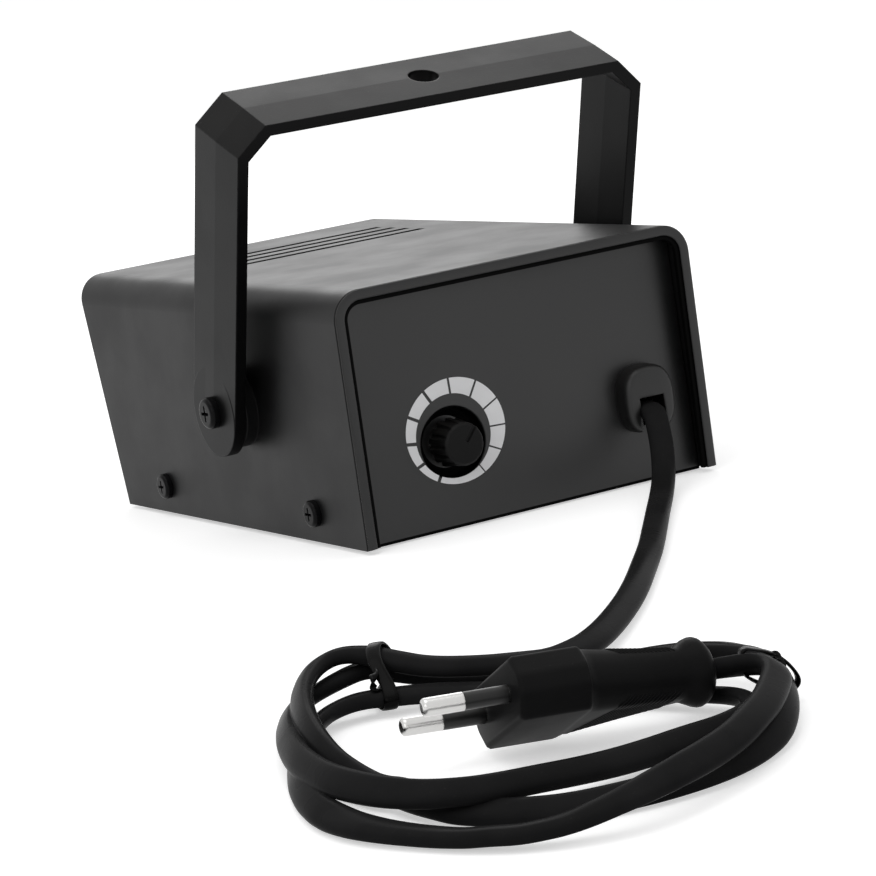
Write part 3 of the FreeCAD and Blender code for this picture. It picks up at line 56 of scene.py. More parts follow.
# %% [markdown]
# ## The camera
# A long lens from two thirds of the way round to the back keeps the edges of the housing nearly parallel.
# Its sideways and upward axes are written out and the third follows from them, which fixes its tilt as well.

# %% Camera
eye = Vector((0.49525, 0.98639, 0.18404))
across, upward = Vector((-0.86742, 0.47476, -0.14894)), Vector((-0.20308, -0.06452, 0.97703))
lens = bpy.data.cameras.new("studio_camera")
lens.lens, lens.sensor_width, lens.clip_end = 147.14, 36.0, 60.0
camera = bpy.data.objects.new("studio_camera", lens)
axes = Matrix((across, upward, across.cross(upward))).transposed()
camera.matrix_world = Matrix.Translation(eye) @ axes.to_4x4()
scene.collection.objects.link(camera)
scene.camera = camera
print("camera looks along", [round(c, 3) for c in -across.cross(upward)])

# %% [markdown]
# ## Light and ground
# Black plastic is seen mostly by what it mirrors, so the room is plain white for the lens and for mirror
# rays, and dimmer for the light that falls on the object. Three soft lamps stand overhead, behind and beside
# it. The table is white too, and keeps a soft shadow.

# %% Room, lamps and table
WHITE = (1, 1, 1, 1)
ROOM_SEEN, ROOM_LIGHT = 1.0, 0.6
TABLE_HALF, TABLE_SHADE, TABLE_GLOW = 14, 0.86, 0.495


def shader(name):
    """An empty material, with its nodes and links."""
    material = bpy.data.materials.new(name)
    material.use_nodes = True
    material.node_tree.nodes.clear()
    return material, material.node_tree.nodes, material.node_tree.links


def seen_straight_or_mirrored(nodes, links):
    """1 for rays from the lens, from gloss and through glass; 0 for the light that falls on things."""
    path = nodes.new("ShaderNodeLightPath")
    value = path.outputs["Is Camera Ray"]
    for kind in ("Is Glossy Ray", "Is Transmission Ray"):
        either = nodes.new("ShaderNodeMath")
        either.operation = "MAXIMUM"
        links.new(value, either.inputs[0])
        links.new(path.outputs[kind], either.inputs[1])
        value = either.outputs[0]
    return value


scene.view_settings.view_transform = "Standard"
room = bpy.data.worlds.new("white_room")
scene.world = room
room.use_nodes = True
nodes, links = room.node_tree.nodes, room.node_tree.links
nodes.clear()
soft, bright = (nodes.new("ShaderNodeBackground") for _ in range(2))
for background, strength in ((soft, ROOM_LIGHT), (bright, ROOM_SEEN)):
    background.inputs["Strength"].default_value = strength
    background.inputs["Color"].default_value = WHITE
pick, out = nodes.new("ShaderNodeMixShader"), nodes.new("ShaderNodeOutputWorld")
links.new(seen_straight_or_mirrored(nodes, links), pick.inputs[0])
links.new(soft.outputs[0], pick.inputs[1])
links.new(bright.outputs[0], pick.inputs[2])
links.new(pick.outputs[0], out.inputs["Surface"])


def lamp(name, place, aim, size, power):
    """A round area lamp at a place, aimed at a point, in metres and watts."""
    light = bpy.data.lights.new(name, "AREA")
    light.shape, light.size, light.energy = "DISK", size, power
    obj = bpy.data.objects.new(name, light)
    obj.location = place
    obj.rotation_euler = (Vector(aim) - Vector(place)).to_track_quat("-Z", "Y").to_euler()
    scene.collection.objects.link(obj)


lamp("overhead_softbox", (0.3, 0.2, 1.5), (0.05, 0.15, 0.0), 1.3, 4.5)
lamp("back_softbox", (-0.6, -1.25, 0.85), (0.0, 0.05, 0.05), 0.9, 4.4)
lamp("side_fill", (1.3, 0.9, 0.7), (0.0, 0.1, 0.05), 0.9, 2.5)

table_top, nodes, links = shader("table_white")
ground = nodes.new("ShaderNodeBsdfDiffuse")
ground.inputs["Color"].default_value = (TABLE_SHADE, TABLE_SHADE, TABLE_SHADE, 1)
glow, both = nodes.new("ShaderNodeEmission"), nodes.new("ShaderNodeAddShader")
end = nodes.new("ShaderNodeOutputMaterial")
lift = nodes.new("ShaderNodeMath")
lift.operation = "MULTIPLY"
lift.inputs[1].default_value = TABLE_GLOW
links.new(seen_straight_or_mirrored(nodes, links), lift.inputs[0])
links.new(lift.outputs[0], glow.inputs["Strength"])
links.new(ground.outputs[0], both.inputs[0])
links.new(glow.outputs[0], both.inputs[1])
links.new(both.outputs[0], end.inputs["Surface"])
grid = bpy.data.meshes.new("table")
table_corners = [(x * TABLE_HALF, y * TABLE_HALF, 0) for x, y in ((-1, -1), (1, -1), (1, 1), (-1, 1))]
grid.from_pydata(table_corners, [], [(0, 1, 2, 3)])
table = bpy.data.objects.new("table", grid)
grid.materials.append(table_top)
scene.collection.objects.link(table)

# %% [markdown]
# ## Shared surface effects
# Every moulded part of the real device carries the same three things: a fine spark-eroded grain, edges
# that catch the light, and a little dust. Each is a node group, built once and reused with its own numbers.

# %% Node groups
def effect(name, numbers, outputs):
    """An empty node group with float inputs and the named outputs."""
    tree = bpy.data.node_groups.new(name, "ShaderNodeTree")
    for label, value in numbers.items():
        tree.interface.new_socket(label, in_out="INPUT", socket_type="NodeSocketFloat").default_value = value
    for label, kind in outputs.items():
        tree.interface.new_socket(label, in_out="OUTPUT", socket_type=kind)
    return tree, tree.nodes.new("NodeGroupInput"), tree.nodes.new("NodeGroupOutput")


def math_node(tree, how, a, b):
    """One step of arithmetic on two values, each a number or another node's output."""
    node = tree.nodes.new("ShaderNodeMath")
    node.operation = how
    for socket, value in zip(node.inputs, (a, b)):
        if isinstance(value, (int, float)):
            socket.default_value = value
        else:
            tree.links.new(value, socket)
    return node.outputs[0]


def ramp(tree, value, low, high):
    """0 below low, 1 above high and a smooth step between."""
    node = tree.nodes.new("ShaderNodeMapRange")
    node.interpolation_type = "SMOOTHSTEP"
    node.inputs["From Min"].default_value, node.inputs["From Max"].default_value = low, high
    tree.links.new(value, node.inputs["Value"])
    return node.outputs["Result"]


def noise(tree, scale, detail, vector, rough=0.55):
    node = tree.nodes.new("ShaderNodeTexNoise")
    node.inputs["Detail"].default_value, node.inputs["Roughness"].default_value = detail, rough
    if isinstance(scale, (int, float)):
        node.inputs["Scale"].default_value = scale
    else:
        tree.links.new(scale, node.inputs["Scale"])
    tree.links.new(vector, node.inputs["Vector"])
    return node.outputs["Fac"]


grain, inlet, outlet = effect("moulding_grain", {"Grain per metre": 2200.0},
                              {"Height": "NodeSocketFloat", "Shade": "NodeSocketFloat"})
where = grain.nodes.new("ShaderNodeTexCoord").outputs["Object"]
cells = grain.nodes.new("ShaderNodeTexVoronoi")
cells.feature = "SMOOTH_F1"
grain.links.new(inlet.outputs["Grain per metre"], cells.inputs["Scale"])
grain.links.new(where, cells.inputs["Vector"])
fine = noise(grain, math_node(grain, "MULTIPLY", inlet.outputs["Grain per metre"], 1.7), 2.0, where)
grain.links.new(math_node(grain, "ADD", math_node(grain, "MULTIPLY", cells.outputs["Distance"], 0.6),
                          math_node(grain, "MULTIPLY", fine, 0.5)), outlet.inputs["Height"])
grain.links.new(noise(grain, 38.0, 4.0, where), outlet.inputs["Shade"])

edge, inlet, outlet = effect("edge_light", {"Radius": 0.0004},
                             {"Worn": "NodeSocketFloat", "Normal": "NodeSocketVector"})
bevel = edge.nodes.new("ShaderNodeBevel")
bevel.samples = 4
edge.links.new(inlet.outputs["Radius"], bevel.inputs["Radius"])
flat = edge.nodes.new("ShaderNodeNewGeometry").outputs["Normal"]
turn = edge.nodes.new("ShaderNodeVectorMath")
turn.operation = "DOT_PRODUCT"
edge.links.new(bevel.outputs["Normal"], turn.inputs[0])
edge.links.new(flat, turn.inputs[1])
patches = noise(edge, 420.0, 3.0, edge.nodes.new("ShaderNodeTexCoord").outputs["Object"])
rounded = ramp(edge, math_node(edge, "SUBTRACT", 1.0, turn.outputs["Value"]), 0.01, 0.25)
edge.links.new(math_node(edge, "MULTIPLY", rounded, ramp(edge, patches, 0.35, 0.7)), outlet.inputs["Worn"])
edge.links.new(bevel.outputs["Normal"], outlet.inputs["Normal"])

dust, inlet, outlet = effect("settled_dust", {"Amount": 0.3}, {"Mask": "NodeSocketFloat"})
up = dust.nodes.new("ShaderNodeSeparateXYZ")
dust.links.new(dust.nodes.new("ShaderNodeNewGeometry").outputs["Normal"], up.inputs[0])
spot = dust.nodes.new("ShaderNodeTexCoord").outputs["Object"]
film = math_node(dust, "MULTIPLY", noise(dust, 55.0, 5.0, spot), 0.6)
specks = ramp(dust, noise(dust, 1500.0, 1.0, spot), 0.70, 0.76)
lying = ramp(dust, up.outputs["Z"], 0.1, 0.95)
grime = math_node(dust, "ADD", film, math_node(dust, "MULTIPLY", specks, 0.7))
settled = math_node(dust, "MULTIPLY", lying, grime)
dust.links.new(math_node(dust, "MULTIPLY", inlet.outputs["Amount"], settled), outlet.inputs["Mask"])
print("effects", [tree.name for tree in bpy.data.node_groups])

# %% [markdown]
# ## Finishes
# One recipe serves every opaque part: a base colour that drifts a little, grain in the bump, a paler line on
# the worn edges, and dust on what faces up. The numbers make it nylon, steel or rubber.

# %% A recipe for opaque parts
DUST_COLOUR = (0.20, 0.19, 0.18, 1)


def placed(nodes, tree, **values):
    """A node group with its inputs set; an underscore in a keyword stands for a space."""
    node = nodes.new("ShaderNodeGroup")
    node.node_tree = tree
    for label, value in values.items():
        node.inputs[label.replace("_", " ")].default_value = value
    return node


def blended(material, fac, a, b):
    """Colour a where fac is 0 and colour b where it is 1."""
    node = material.node_tree.nodes.new("ShaderNodeMix")
    node.data_type = "RGBA"
    for socket, value in ((node.inputs[0], fac), (node.inputs[6], a), (node.inputs[7], b)):
        if isinstance(value, (int, float, tuple)):
            socket.default_value = value
        else:
            material.node_tree.links.new(value, socket)
    return node.outputs[2]


def opaque(name, colour, rough, metal=0.0, grain_per_metre=2200.0, depth=0.00002, edge_radius=0.0004,
           wear=0.25, dusty=0.12, drift=0.2, spread=0.08, coat=0.0, gloss=0.5):
    """Plastic, rubber or metal; depth and edge_radius are in metres."""
    material, nodes, links = shader(name)
    tree = material.node_tree
    body, end = nodes.new("ShaderNodeBsdfPrincipled"), nodes.new("ShaderNodeOutputMaterial")
    body.inputs["Metallic"].default_value = metal
    body.inputs["Coat Weight"].default_value = coat
    body.inputs["Specular IOR Level"].default_value = gloss
    surface = placed(nodes, grain, Grain_per_metre=grain_per_metre)
    rim = placed(nodes, edge, Radius=edge_radius)
    lint = placed(nodes, dust, Amount=dusty)
    shade = ramp(tree, surface.outputs["Shade"], 0.3, 0.7)
    dark = tuple(c * (1 - drift) for c in colour) + (1,)
    pale = tuple(min(1, c * (1 + drift)) for c in colour) + (1,)
    worn = tuple(min(1, c * 1.6 + 0.02) for c in colour) + (1,)
    base = blended(material, shade, dark, pale)
    base = blended(material, math_node(tree, "MULTIPLY", rim.outputs["Worn"], wear), base, worn)
    base = blended(material, lint.outputs["Mask"], base, DUST_COLOUR)
    links.new(base, body.inputs["Base Color"])
    matt = math_node(tree, "ADD", rough - spread / 2, math_node(tree, "MULTIPLY", shade, spread))
    dulled = math_node(tree, "MULTIPLY", lint.outputs["Mask"], 0.3)
    links.new(math_node(tree, "ADD", matt, dulled), body.inputs["Roughness"])
    bump = nodes.new("ShaderNodeBump")
    bump.inputs["Distance"].default_value = depth
    bump.inputs["Strength"].default_value = 1.0
    links.new(surface.outputs["Height"], bump.inputs["Height"])
    links.new(rim.outputs["Normal"], bump.inputs["Normal"])
    links.new(bump.outputs["Normal"], body.inputs["Normal"])
    links.new(body.outputs["BSDF"], end.inputs["Surface"])
    return material


def glassy(name, colour, rough, ior):
    """Clear parts: glass or acrylic, with faint wipe marks in the roughness."""
    material, nodes, links = shader(name)
    body, end = nodes.new("ShaderNodeBsdfPrincipled"), nodes.new("ShaderNodeOutputMaterial")
    body.inputs["Transmission Weight"].default_value = 1.0
    body.inputs["IOR"].default_value = ior
    surface = placed(nodes, grain, Grain_per_metre=900.0)
    clear, dim = colour + (1,), tuple(c * 0.93 for c in colour) + (1,)
    links.new(blended(material, surface.outputs["Shade"], clear, dim), body.inputs["Base Color"])
    wiped = math_node(material.node_tree, "MULTIPLY", surface.outputs["Shade"], rough)
    links.new(wiped, body.inputs["Roughness"])
    links.new(body.outputs["BSDF"], end.inputs["Surface"])
    return material


def dress(node, material):
    """Gives a CAD part its finish; its mesh stays as it is."""
    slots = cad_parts[node].data.materials
    slots.clear()
    slots.append(material)


# %% Finishes of the CAD parts
FINISHES = {
    "housing_cover": opaque("cover_plastic", (0.004, 0.004, 0.0042), 0.42, grain_per_metre=1900,
                            depth=0.000012, gloss=0.16, dusty=0.06),
    "base_tray": opaque("tray_plastic", (0.005, 0.005, 0.005), 0.45, gloss=0.35),
    "rear_panel": opaque("panel_plastic", (0.0045, 0.0045, 0.0047), 0.40, grain_per_metre=2600,
                         depth=0.000012, gloss=0.5),
    "front_bezel": opaque("bezel_plastic", (0.006, 0.006, 0.006), 0.42, gloss=0.4),
    "mounting_bracket": opaque("bracket_plastic", (0.003, 0.003, 0.0032), 0.34, grain_per_metre=1500,
                               depth=0.000010, edge_radius=0.0006, wear=0.6, gloss=0.075),
    "front_window": glassy("window_clear", (0.98, 0.99, 0.99), 0.02, 1.49),
    "reflector": opaque("reflector_bright", (0.86, 0.87, 0.88), 0.12, metal=1.0, depth=0.000006, drift=0.03,
                        wear=0.1, dusty=0.05, spread=0.05),
    "flash_tube": glassy("lamp_glass", (0.97, 0.98, 1.0), 0.01, 1.46),
    "tube_electrodes": opaque("electrode_metal", (0.45, 0.42, 0.38), 0.3, metal=1.0, dusty=0.05),
    "tube_holders": opaque("holder_rubber", (0.62, 0.60, 0.56), 0.6, grain_per_metre=1500, depth=0.00003),
    "circuit_board": opaque("board_laminate", (0.09, 0.16, 0.05), 0.35, grain_per_metre=900, depth=0.00001,
                            drift=0.3),
    "board_standoffs": opaque("standoff_plastic", (0.012, 0.012, 0.012), 0.5),
    "board_screws": opaque("screw_zinc", (0.62, 0.60, 0.52), 0.28, metal=1.0, edge_radius=0.0002),
    "pivot_nuts": opaque("nut_zinc", (0.60, 0.60, 0.60), 0.30, metal=1.0, edge_radius=0.0002),
    "pivot_washers": opaque("washer_nylon", (0.003, 0.003, 0.003), 0.42, gloss=0.25),
    "storage_capacitors": opaque("capacitor_sleeve", (0.015, 0.02, 0.05), 0.3, coat=0.4, depth=0.00001),
    "film_capacitor": opaque("film_red", (0.35, 0.05, 0.03), 0.35, coat=0.2),
    "trigger_transformer": opaque("transformer_tape", (0.55, 0.42, 0.06), 0.4, drift=0.15),
    "power_resistors": opaque("resistor_cement", (0.62, 0.60, 0.55), 0.75, grain_per_metre=1300,
                              depth=0.00006),
    "rectifier_diodes": opaque("diode_black", (0.02, 0.02, 0.02), 0.4),
    "mains_fuse": glassy("fuse_glass", (0.9, 0.93, 0.92), 0.05, 1.5),
    "thyristor": opaque("thyristor_black", (0.02, 0.02, 0.02), 0.45),
    "terminal_block": opaque("terminal_green", (0.03, 0.22, 0.07), 0.42),
    "potentiometer": opaque("pot_metal", (0.55, 0.56, 0.56), 0.32, metal=1.0),
    "pot_nut": opaque("pot_nut_metal", (0.58, 0.58, 0.56), 0.28, metal=1.0),
    "pot_shaft": opaque("shaft_plastic", (0.72, 0.71, 0.68), 0.45),
    "speed_knob": opaque("knob_plastic", (0.002, 0.002, 0.002), 0.36, edge_radius=0.0007, gloss=0.12),
    "pin_sleeves": opaque("sleeve_pvc", (0.004, 0.004, 0.004), 0.35, gloss=0.35),
    "plug_pins": opaque("pin_nickel", (0.60, 0.595, 0.585), 0.18, metal=1.0, edge_radius=0.0005, dusty=0.0,
                        wear=0.1, drift=0.04),
    "base_feet": opaque("foot_rubber", (0.010, 0.010, 0.010), 0.7, grain_per_metre=1400, depth=0.00003),
}
for node, material in FINISHES.items():
    dress(node, material)
screw_black = opaque("screw_black", (0.004, 0.004, 0.0045), 0.20, edge_radius=0.0003, wear=0.5, gloss=0.07,
                     dusty=0.05, depth=0.000004)
cord_pvc = opaque("cord_pvc", (0.013, 0.013, 0.0134), 0.26, grain_per_metre=1500, depth=0.000006,
                  gloss=0.003, dusty=0.04)
plug_pvc = opaque("plug_pvc", (0.009, 0.009, 0.0092), 0.36, grain_per_metre=1200, depth=0.000010,
                  edge_radius=0.0005, gloss=0.015, dusty=0.05)
relief_plastic = opaque("relief_plastic", (0.003, 0.003, 0.003), 0.36, edge_radius=0.0012, gloss=0.42)
edge_plastic = opaque("edge_plastic", (0.0045, 0.0045, 0.0047), 0.36, grain_per_metre=2400, depth=0.000008,
                      edge_radius=0.0008, gloss=0.42)
# Near-black and matt: painted shade, in the cover's edge gap, at the panel's foot and in the knob's well.
seal_black = opaque("seal_black", (0.0012, 0.0012, 0.0012), 0.6, grain_per_metre=2600, depth=0.00002,
                    dusty=0.0, wear=0.1, gloss=0.03)
tie_black = opaque("tie_black", (0.0015, 0.0015, 0.0015), 0.2, gloss=0.04, dusty=0.03)
print("finishes", len(FINISHES), "of", len(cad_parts), "nodes")

# %% [markdown]
# ## The flat cord
# A two-core flat cord leaves the strain relief, drops to the table and is wound three times, tied twice.
# It is one smooth spline, and the oval sheath follows it. Flat cord rolls as it turns, so each point also
# carries a roll in degrees: 0 lies flat, 90 stands on edge.
#
# The points of COIL are a table that a fitting program made and that scripts then adjusted. A loop over the
# turns would be the better way to write a coil, so don't take this list as an example.

# %% The route of the cord, in millimetres, and its roll
LEAD = [(-39.75, 79.45, 23.4, 0), (-39.5, 91, 23.2, 0), (-37.3, 96.8, 20.2, 0), (-35.4, 100.9, 12.4, 0),
        (-30.6, 107.6, 5.6, 0), (-21, 121, 3.2, -4), (-7, 141, 2.8, -8), (8, 163, 2.8, -12),
        (21, 182, 2.8, -14), (33.2, 198.7, 2.9, -24), (55.2, 228.6, 3.2, -30), (75.8, 253.1, 3.6, -32),
        (92.8, 271.4, 4.5, -30), (104.0, 279.6, 5.3, -22)]
COIL = [
    (111.8, 283.1, 6.3, -10), (118.8, 282.5, 7.1, -11), (127.0, 278.4, 7.6, -12), (135.5, 270.2, 8.4, -11),
    (139.9, 264.1, 9.8, -10), (144.3, 256.6, 11.7, -6), (149.7, 253.2, 12.6, 6), (155.8, 253.2, 11.2, 25),
    (163.0, 260.7, 9.9, 44), (171.0, 274.6, 9.4, 52), (179.7, 294.5, 9.0, 54), (184.7, 309.9, 7.7, 54),
    (186.9, 321.2, 5.9, 52), (187.3, 332.0, 4.2, 50), (187.4, 342.3, 3.4, 47), (185.4, 347.5, 3.7, 34),
    (185.6, 355.4, 3.4, 27), (184.7, 363.4, 3.0, 22), (183.2, 370.9, 2.6, 21), (176.9, 380.1, 2.5, 24),
    (169.6, 387.7, 2.6, 28), (159.8, 391.8, 3.0, 28), (150.3, 393.4, 3.1, 30), (138.4, 392.7, 3.2, 35),
    (126.4, 388.6, 3.4, 43), (116.4, 382.0, 3.6, 49), (109.4, 375.0, 4.2, 53), (102.5, 366.3, 5.0, 54),
    (96.0, 356.1, 6.0, 53), (90.6, 345.2, 6.9, 50), (88.1, 336.3, 7.3, 40), (87.9, 328.5, 7.4, 23),
    (88.9, 321.4, 7.5, 6), (93.5, 311.1, 6.9, -5), (98.7, 301.9, 5.6, -9), (104.3, 293.1, 3.5, -10),
    (112.9, 280.1, 2.3, -10), (122.7, 269.3, 2.8, -10), (131.3, 261.2, 4.1, -9), (138.8, 255.9, 6.2, -7),
    (144.4, 253.9, 8.1, -3), (153.8, 255.3, 6.8, 7), (159.6, 257.6, 5.9, 23), (165.7, 260.8, 5.2, 40),
    (173.2, 271.0, 5.0, 51), (180.8, 286.0, 5.6, 54), (189.6, 308.0, 6.5, 54), (194.8, 327.9, 7.2, 52),
    (197.5, 344.9, 8.2, 47), (195.7, 359.5, 8.2, 39), (190.4, 366.9, 7.4, 32), (182.1, 372.0, 6.8, 29),
    (174.7, 373.6, 6.4, 28), (166.4, 373.6, 5.8, 28), (157.5, 372.9, 4.9, 28), (148.3, 371.7, 4.1, 30),
    (138.5, 370.1, 3.7, 31), (128.3, 368.0, 3.5, 33), (118.2, 366.3, 3.0, 37), (111.2, 363.9, 3.0, 43),
    (107.4, 361.6, 3.1, 48), (103.7, 355.8, 3.6, 43), (102.9, 348.0, 3.8, 28), (105.6, 337.2, 3.5, 11),
    (110.3, 324.1, 3.2, 0), (115.4, 311.2, 2.9, -6), (122.5, 296.7, 2.8, -8), (130.7, 283.5, 3.0, -8),
    (138.9, 274.9, 3.7, -7), (147.5, 270.0, 4.1, -5), (154.1, 267.9, 4.5, 2), (161.0, 268.3, 3.7, 18),
    (166.3, 271.8, 2.9, 37), (175.2, 283.6, 3.0, 50), (183.7, 297.2, 3.1, 54), (190.5, 310.5, 3.1, 54),
    (195.7, 322.6, 3.1, 54), (199.9, 335.8, 3.1, 47), (202.3, 347.8, 3.0, 34), (202.0, 361.6, 2.8, 13),
    (197.7, 374.6, 2.3, 0), (192.7, 385.9, 2.2, -5), (188.9, 392.0, 2.8, -5), (185.6, 396.3, 2.9, -4),
    (181.9, 399.5, 3.4, -1), (178.0, 402.3, 4.1, 3), (173.7, 404.6, 5.3, 9), (169.0, 406.2, 6.5, 11),
    (163.8, 407.0, 7.6, 16), (157.6, 406.2, 8.4, 25), (150.3, 403.6, 8.8, 34), (142.1, 399.8, 9.0, 36),
    (132.8, 394.3, 9.3, 32), (124.3, 387.4, 9.7, 30), (114.6, 378.1, 9.5, 32), (104.7, 366.4, 9.4, 36),
    (98.3, 358.0, 9.6, 38), (97.1, 351.6, 9.9, 40),
]
TAIL = [(99.65, 347.14, 10.03, 36), (107.5, 345.74, 10.51, 24)]
CORD_WIDE, CORD_THICK = 7.0, 3.9
UP = np.array([0, 0, 1.0])

# %% The sheath
def plain_mesh(holder):
    """The mesh that an object's curve or modifiers make."""
    bpy.context.view_layer.update()
    return bpy.data.meshes.new_from_object(holder.evaluated_get(bpy.context.evaluated_depsgraph_get()))


def smooth_line(points, name):
    """The points that a NURBS spline passes through when these points control it."""
    curve = bpy.data.curves.new(name, "CURVE")
    curve.dimensions = "3D"
    spline = curve.splines.new("NURBS")
    spline.points.add(len(points) - 1)
    for control, place in zip(spline.points, points):
        control.co = (*place, 1.0)
    spline.order_u, spline.use_endpoint_u = 3, True
    curve.resolution_u = spline.resolution_u = 10
    holder = bpy.data.objects.new(name, curve)
    scene.collection.objects.link(holder)
    mesh = plain_mesh(holder)
    line = np.array([v.co for v in mesh.vertices])
    bpy.data.objects.remove(holder)
    bpy.data.meshes.remove(mesh)
    return line


def squarish(turn, half_wide, half_high, power):
    """Points of an oval at the given angles; a power above 2 makes it squarer."""
    c, s = np.cos(turn), np.sin(turn)
    wide = half_wide * np.sign(c) * np.abs(c) ** (2 / power)
    return wide, half_high * np.sign(s) * np.abs(s) ** (2 / power)


def oval(count, wide, thick, power=2.5):
    """Outline of a flat strip or sheath as a squarish oval."""
    turn = np.linspace(0, 2 * math.pi, count, endpoint=False)
    return np.stack(squarish(turn, wide / 2, thick / 2, power), 1)


def unit(vectors):
    return vectors / np.linalg.norm(vectors, axis=1)[:, None]


def framed(line, rolls):
    """For each point of a line: the direction across the sheath's wide side and across its thin side."""
    along = unit(np.gradient(line, axis=0))
    level = unit(np.cross(UP, along))
    raised = np.cross(along, level)
    c, s = np.cos(rolls)[:, None], np.sin(rolls)[:, None]
    return level * c + raised * s, raised * c - level * s


def skin_faces(n, m, closed=False):
    """Faces between n rings of m points, with an end cap on either end of an open run."""
    faces = [(i * m + j, i * m + (j + 1) % m, (i + 1) % n * m + (j + 1) % m, (i + 1) % n * m + j)
             for i in range(n if closed else n - 1) for j in range(m)]
    if not closed:
        faces += [tuple(range(m)), tuple((n - 1) * m + j for j in reversed(range(m)))]
    return faces


def swept(line, wide_way, thin_way, outline, closed=False):
    """Points and faces of an outline carried along a line."""
    wide, thin = outline[None, :, :1], outline[None, :, 1:]
    points = line[:, None] + wide * wide_way[:, None] + thin * thin_way[:, None]
    return points.reshape(-1, 3), skin_faces(len(line), len(outline), closed)


def joined(parts):
    """One list of points and one of faces, from several pairs of them."""
    points, faces, start = [], [], 0
    for some, some_faces in parts:
        points.append(np.asarray(some))
        faces += [tuple(start + k for k in face) for face in some_faces]
        start += len(some)
    return np.vstack(points), faces


def mesh_piece(name, points, faces, material, body, smooth_below=40.0):
    """A piece with its normals outward; edges that turn by more than smooth_below degrees stay sharp."""
    mesh = bpy.data.meshes.new(name)
    mesh.from_pydata([tuple(p) for p in points], [], faces)
    shell = bmesh.new()
    shell.from_mesh(mesh)
    bmesh.ops.remove_doubles(shell, verts=shell.verts, dist=1e-7)
    bmesh.ops.recalc_face_normals(shell, faces=shell.faces)
    shell.to_mesh(mesh)
    shell.free()
    mesh.shade_smooth()
    mesh.set_sharp_from_angle(angle=math.radians(smooth_below))
    mesh.materials.append(material)
    piece = bpy.data.objects.new(name, mesh)
    scene.collection.objects.link(piece)
    if body:
        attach(piece, body)
    return piece


route = np.array(LEAD + COIL + TAIL, float)
cord_line = smooth_line(route[:, :3] * MM, "cord_route")
at = np.clip(np.linspace(0, len(route) - 2, len(cord_line)) + 0.5, 0, len(route) - 1)
cord_rolls = np.radians(np.interp(at, np.arange(len(route)), route[:, 3]))
sheath = oval(20, CORD_WIDE, CORD_THICK) * MM
cord_points, cord_faces = swept(cord_line, *framed(cord_line, cord_rolls), sheath)
cord = mesh_piece("mains_cord", cord_points, cord_faces, cord_pvc, "housing", 60.0)
rings = cord_points.reshape(len(cord_line), -1, 3)

# %% [markdown]
# ## The two ties
# The coil is held by two soft plastic ties, each one turn of flat strip with its ends twisted together. The
# strip has to hug whatever strands pass through it, so its path is worked out from the finished sheath:
# the points of the sheath near the tie are wrapped in the shortest outline, and the strip follows that.

# %% Ties around the strands
STRIP_WIDE, STRIP_THICK, END_WIDE, END_THICK = 3.4, 0.9, 2.0, 0.8
NEAR_TIE, STRIP_STEPS, END_STEPS = 2.2, 72, 30


def wrapped(points):
    """Shortest closed outline around points of a plane, as the monotone chain finds it."""
    def half(rows):
        kept = []
        for p in rows:
            while len(kept) > 1 and ((kept[-1][0] - kept[-2][0]) * (p[1] - kept[-2][1])
                                     - (kept[-1][1] - kept[-2][1]) * (p[0] - kept[-2][0])) <= 0:
                kept.pop()
            kept.append(p)
        return kept[:-1]
    rows = sorted(map(tuple, points))
    return np.array(half(rows) + half(rows[::-1]))


def evenly(points, count, closed=True):
    """The same line as count points at equal distances."""
    ring = np.vstack([points, points[:1]]) if closed else np.array(points)
    run = np.concatenate([[0], np.cumsum(np.linalg.norm(np.diff(ring, axis=0), axis=1))])
    at = np.linspace(0, run[-1], count, endpoint=not closed)
    return np.stack([np.interp(at, run, ring[:, k]) for k in range(ring.shape[1])], 1)


def twisted_end(path):
    """The tie's free end along a path: its points evened out and smoothed, its strip twisted."""
    bend = evenly(path, END_STEPS, closed=False)
    for _ in range(6):
        bend[1:-1] = (bend[:-2] + bend[1:-1] + bend[2:]) / 3
    way = unit(np.gradient(bend, axis=0))
    side = unit(np.cross(way, np.array([0.3, 0.2, 0.93])))
    third = np.cross(side, way)
    twist = np.linspace(0, 3.2 * math.pi, END_STEPS)[:, None]
    wide_way = np.cos(twist) * side + np.sin(twist) * third
    thin_way = np.cos(twist) * third - np.sin(twist) * side
    return swept(bend, wide_way, thin_way, oval(10, END_WIDE, END_THICK, 3.0))


def tie(x, y, heading, reach, sway, end):
    """One strip around the strands at x, y (millimetres), pulled askew by sway, and its twisted end."""
    c, s = math.cos(math.radians(heading)), math.sin(math.radians(heading))
    along, over = np.array([c, s, 0.0]), np.array([-s, c, 0.0])
    cloud = rings / MM - np.array([x, y, 0.0])
    middles = cloud.mean(1)
    near = cloud[(abs(middles @ along) < NEAR_TIE) & (abs(middles @ over) < reach)].reshape(-1, 3)
    loop = evenly(wrapped(np.stack([near @ over, near[:, 2]], 1)), STRIP_STEPS)
    for _ in range(3):
        loop = (loop + np.roll(loop, 1, 0) + np.roll(loop, -1, 0)) / 3
    out = unit(loop - loop.mean(0))
    loop = loop + out * STRIP_THICK
    loop[:, 1] = np.maximum(loop[:, 1], 0.5)
    line = np.array([x, y, 0.0]) + loop[:, :1] * over + loop[:, 1:] * UP
    pull = -sway * np.cos(np.linspace(0, 4 * math.pi, STRIP_STEPS))[:, None] * along
    thin_way = out[:, :1] * over + out[:, 1:] * UP
    band = swept(line + pull, np.tile(along, (STRIP_STEPS, 1)), thin_way,
                 oval(10, STRIP_WIDE, STRIP_THICK, 3.0), closed=True)
    return joined([band, twisted_end(end)])


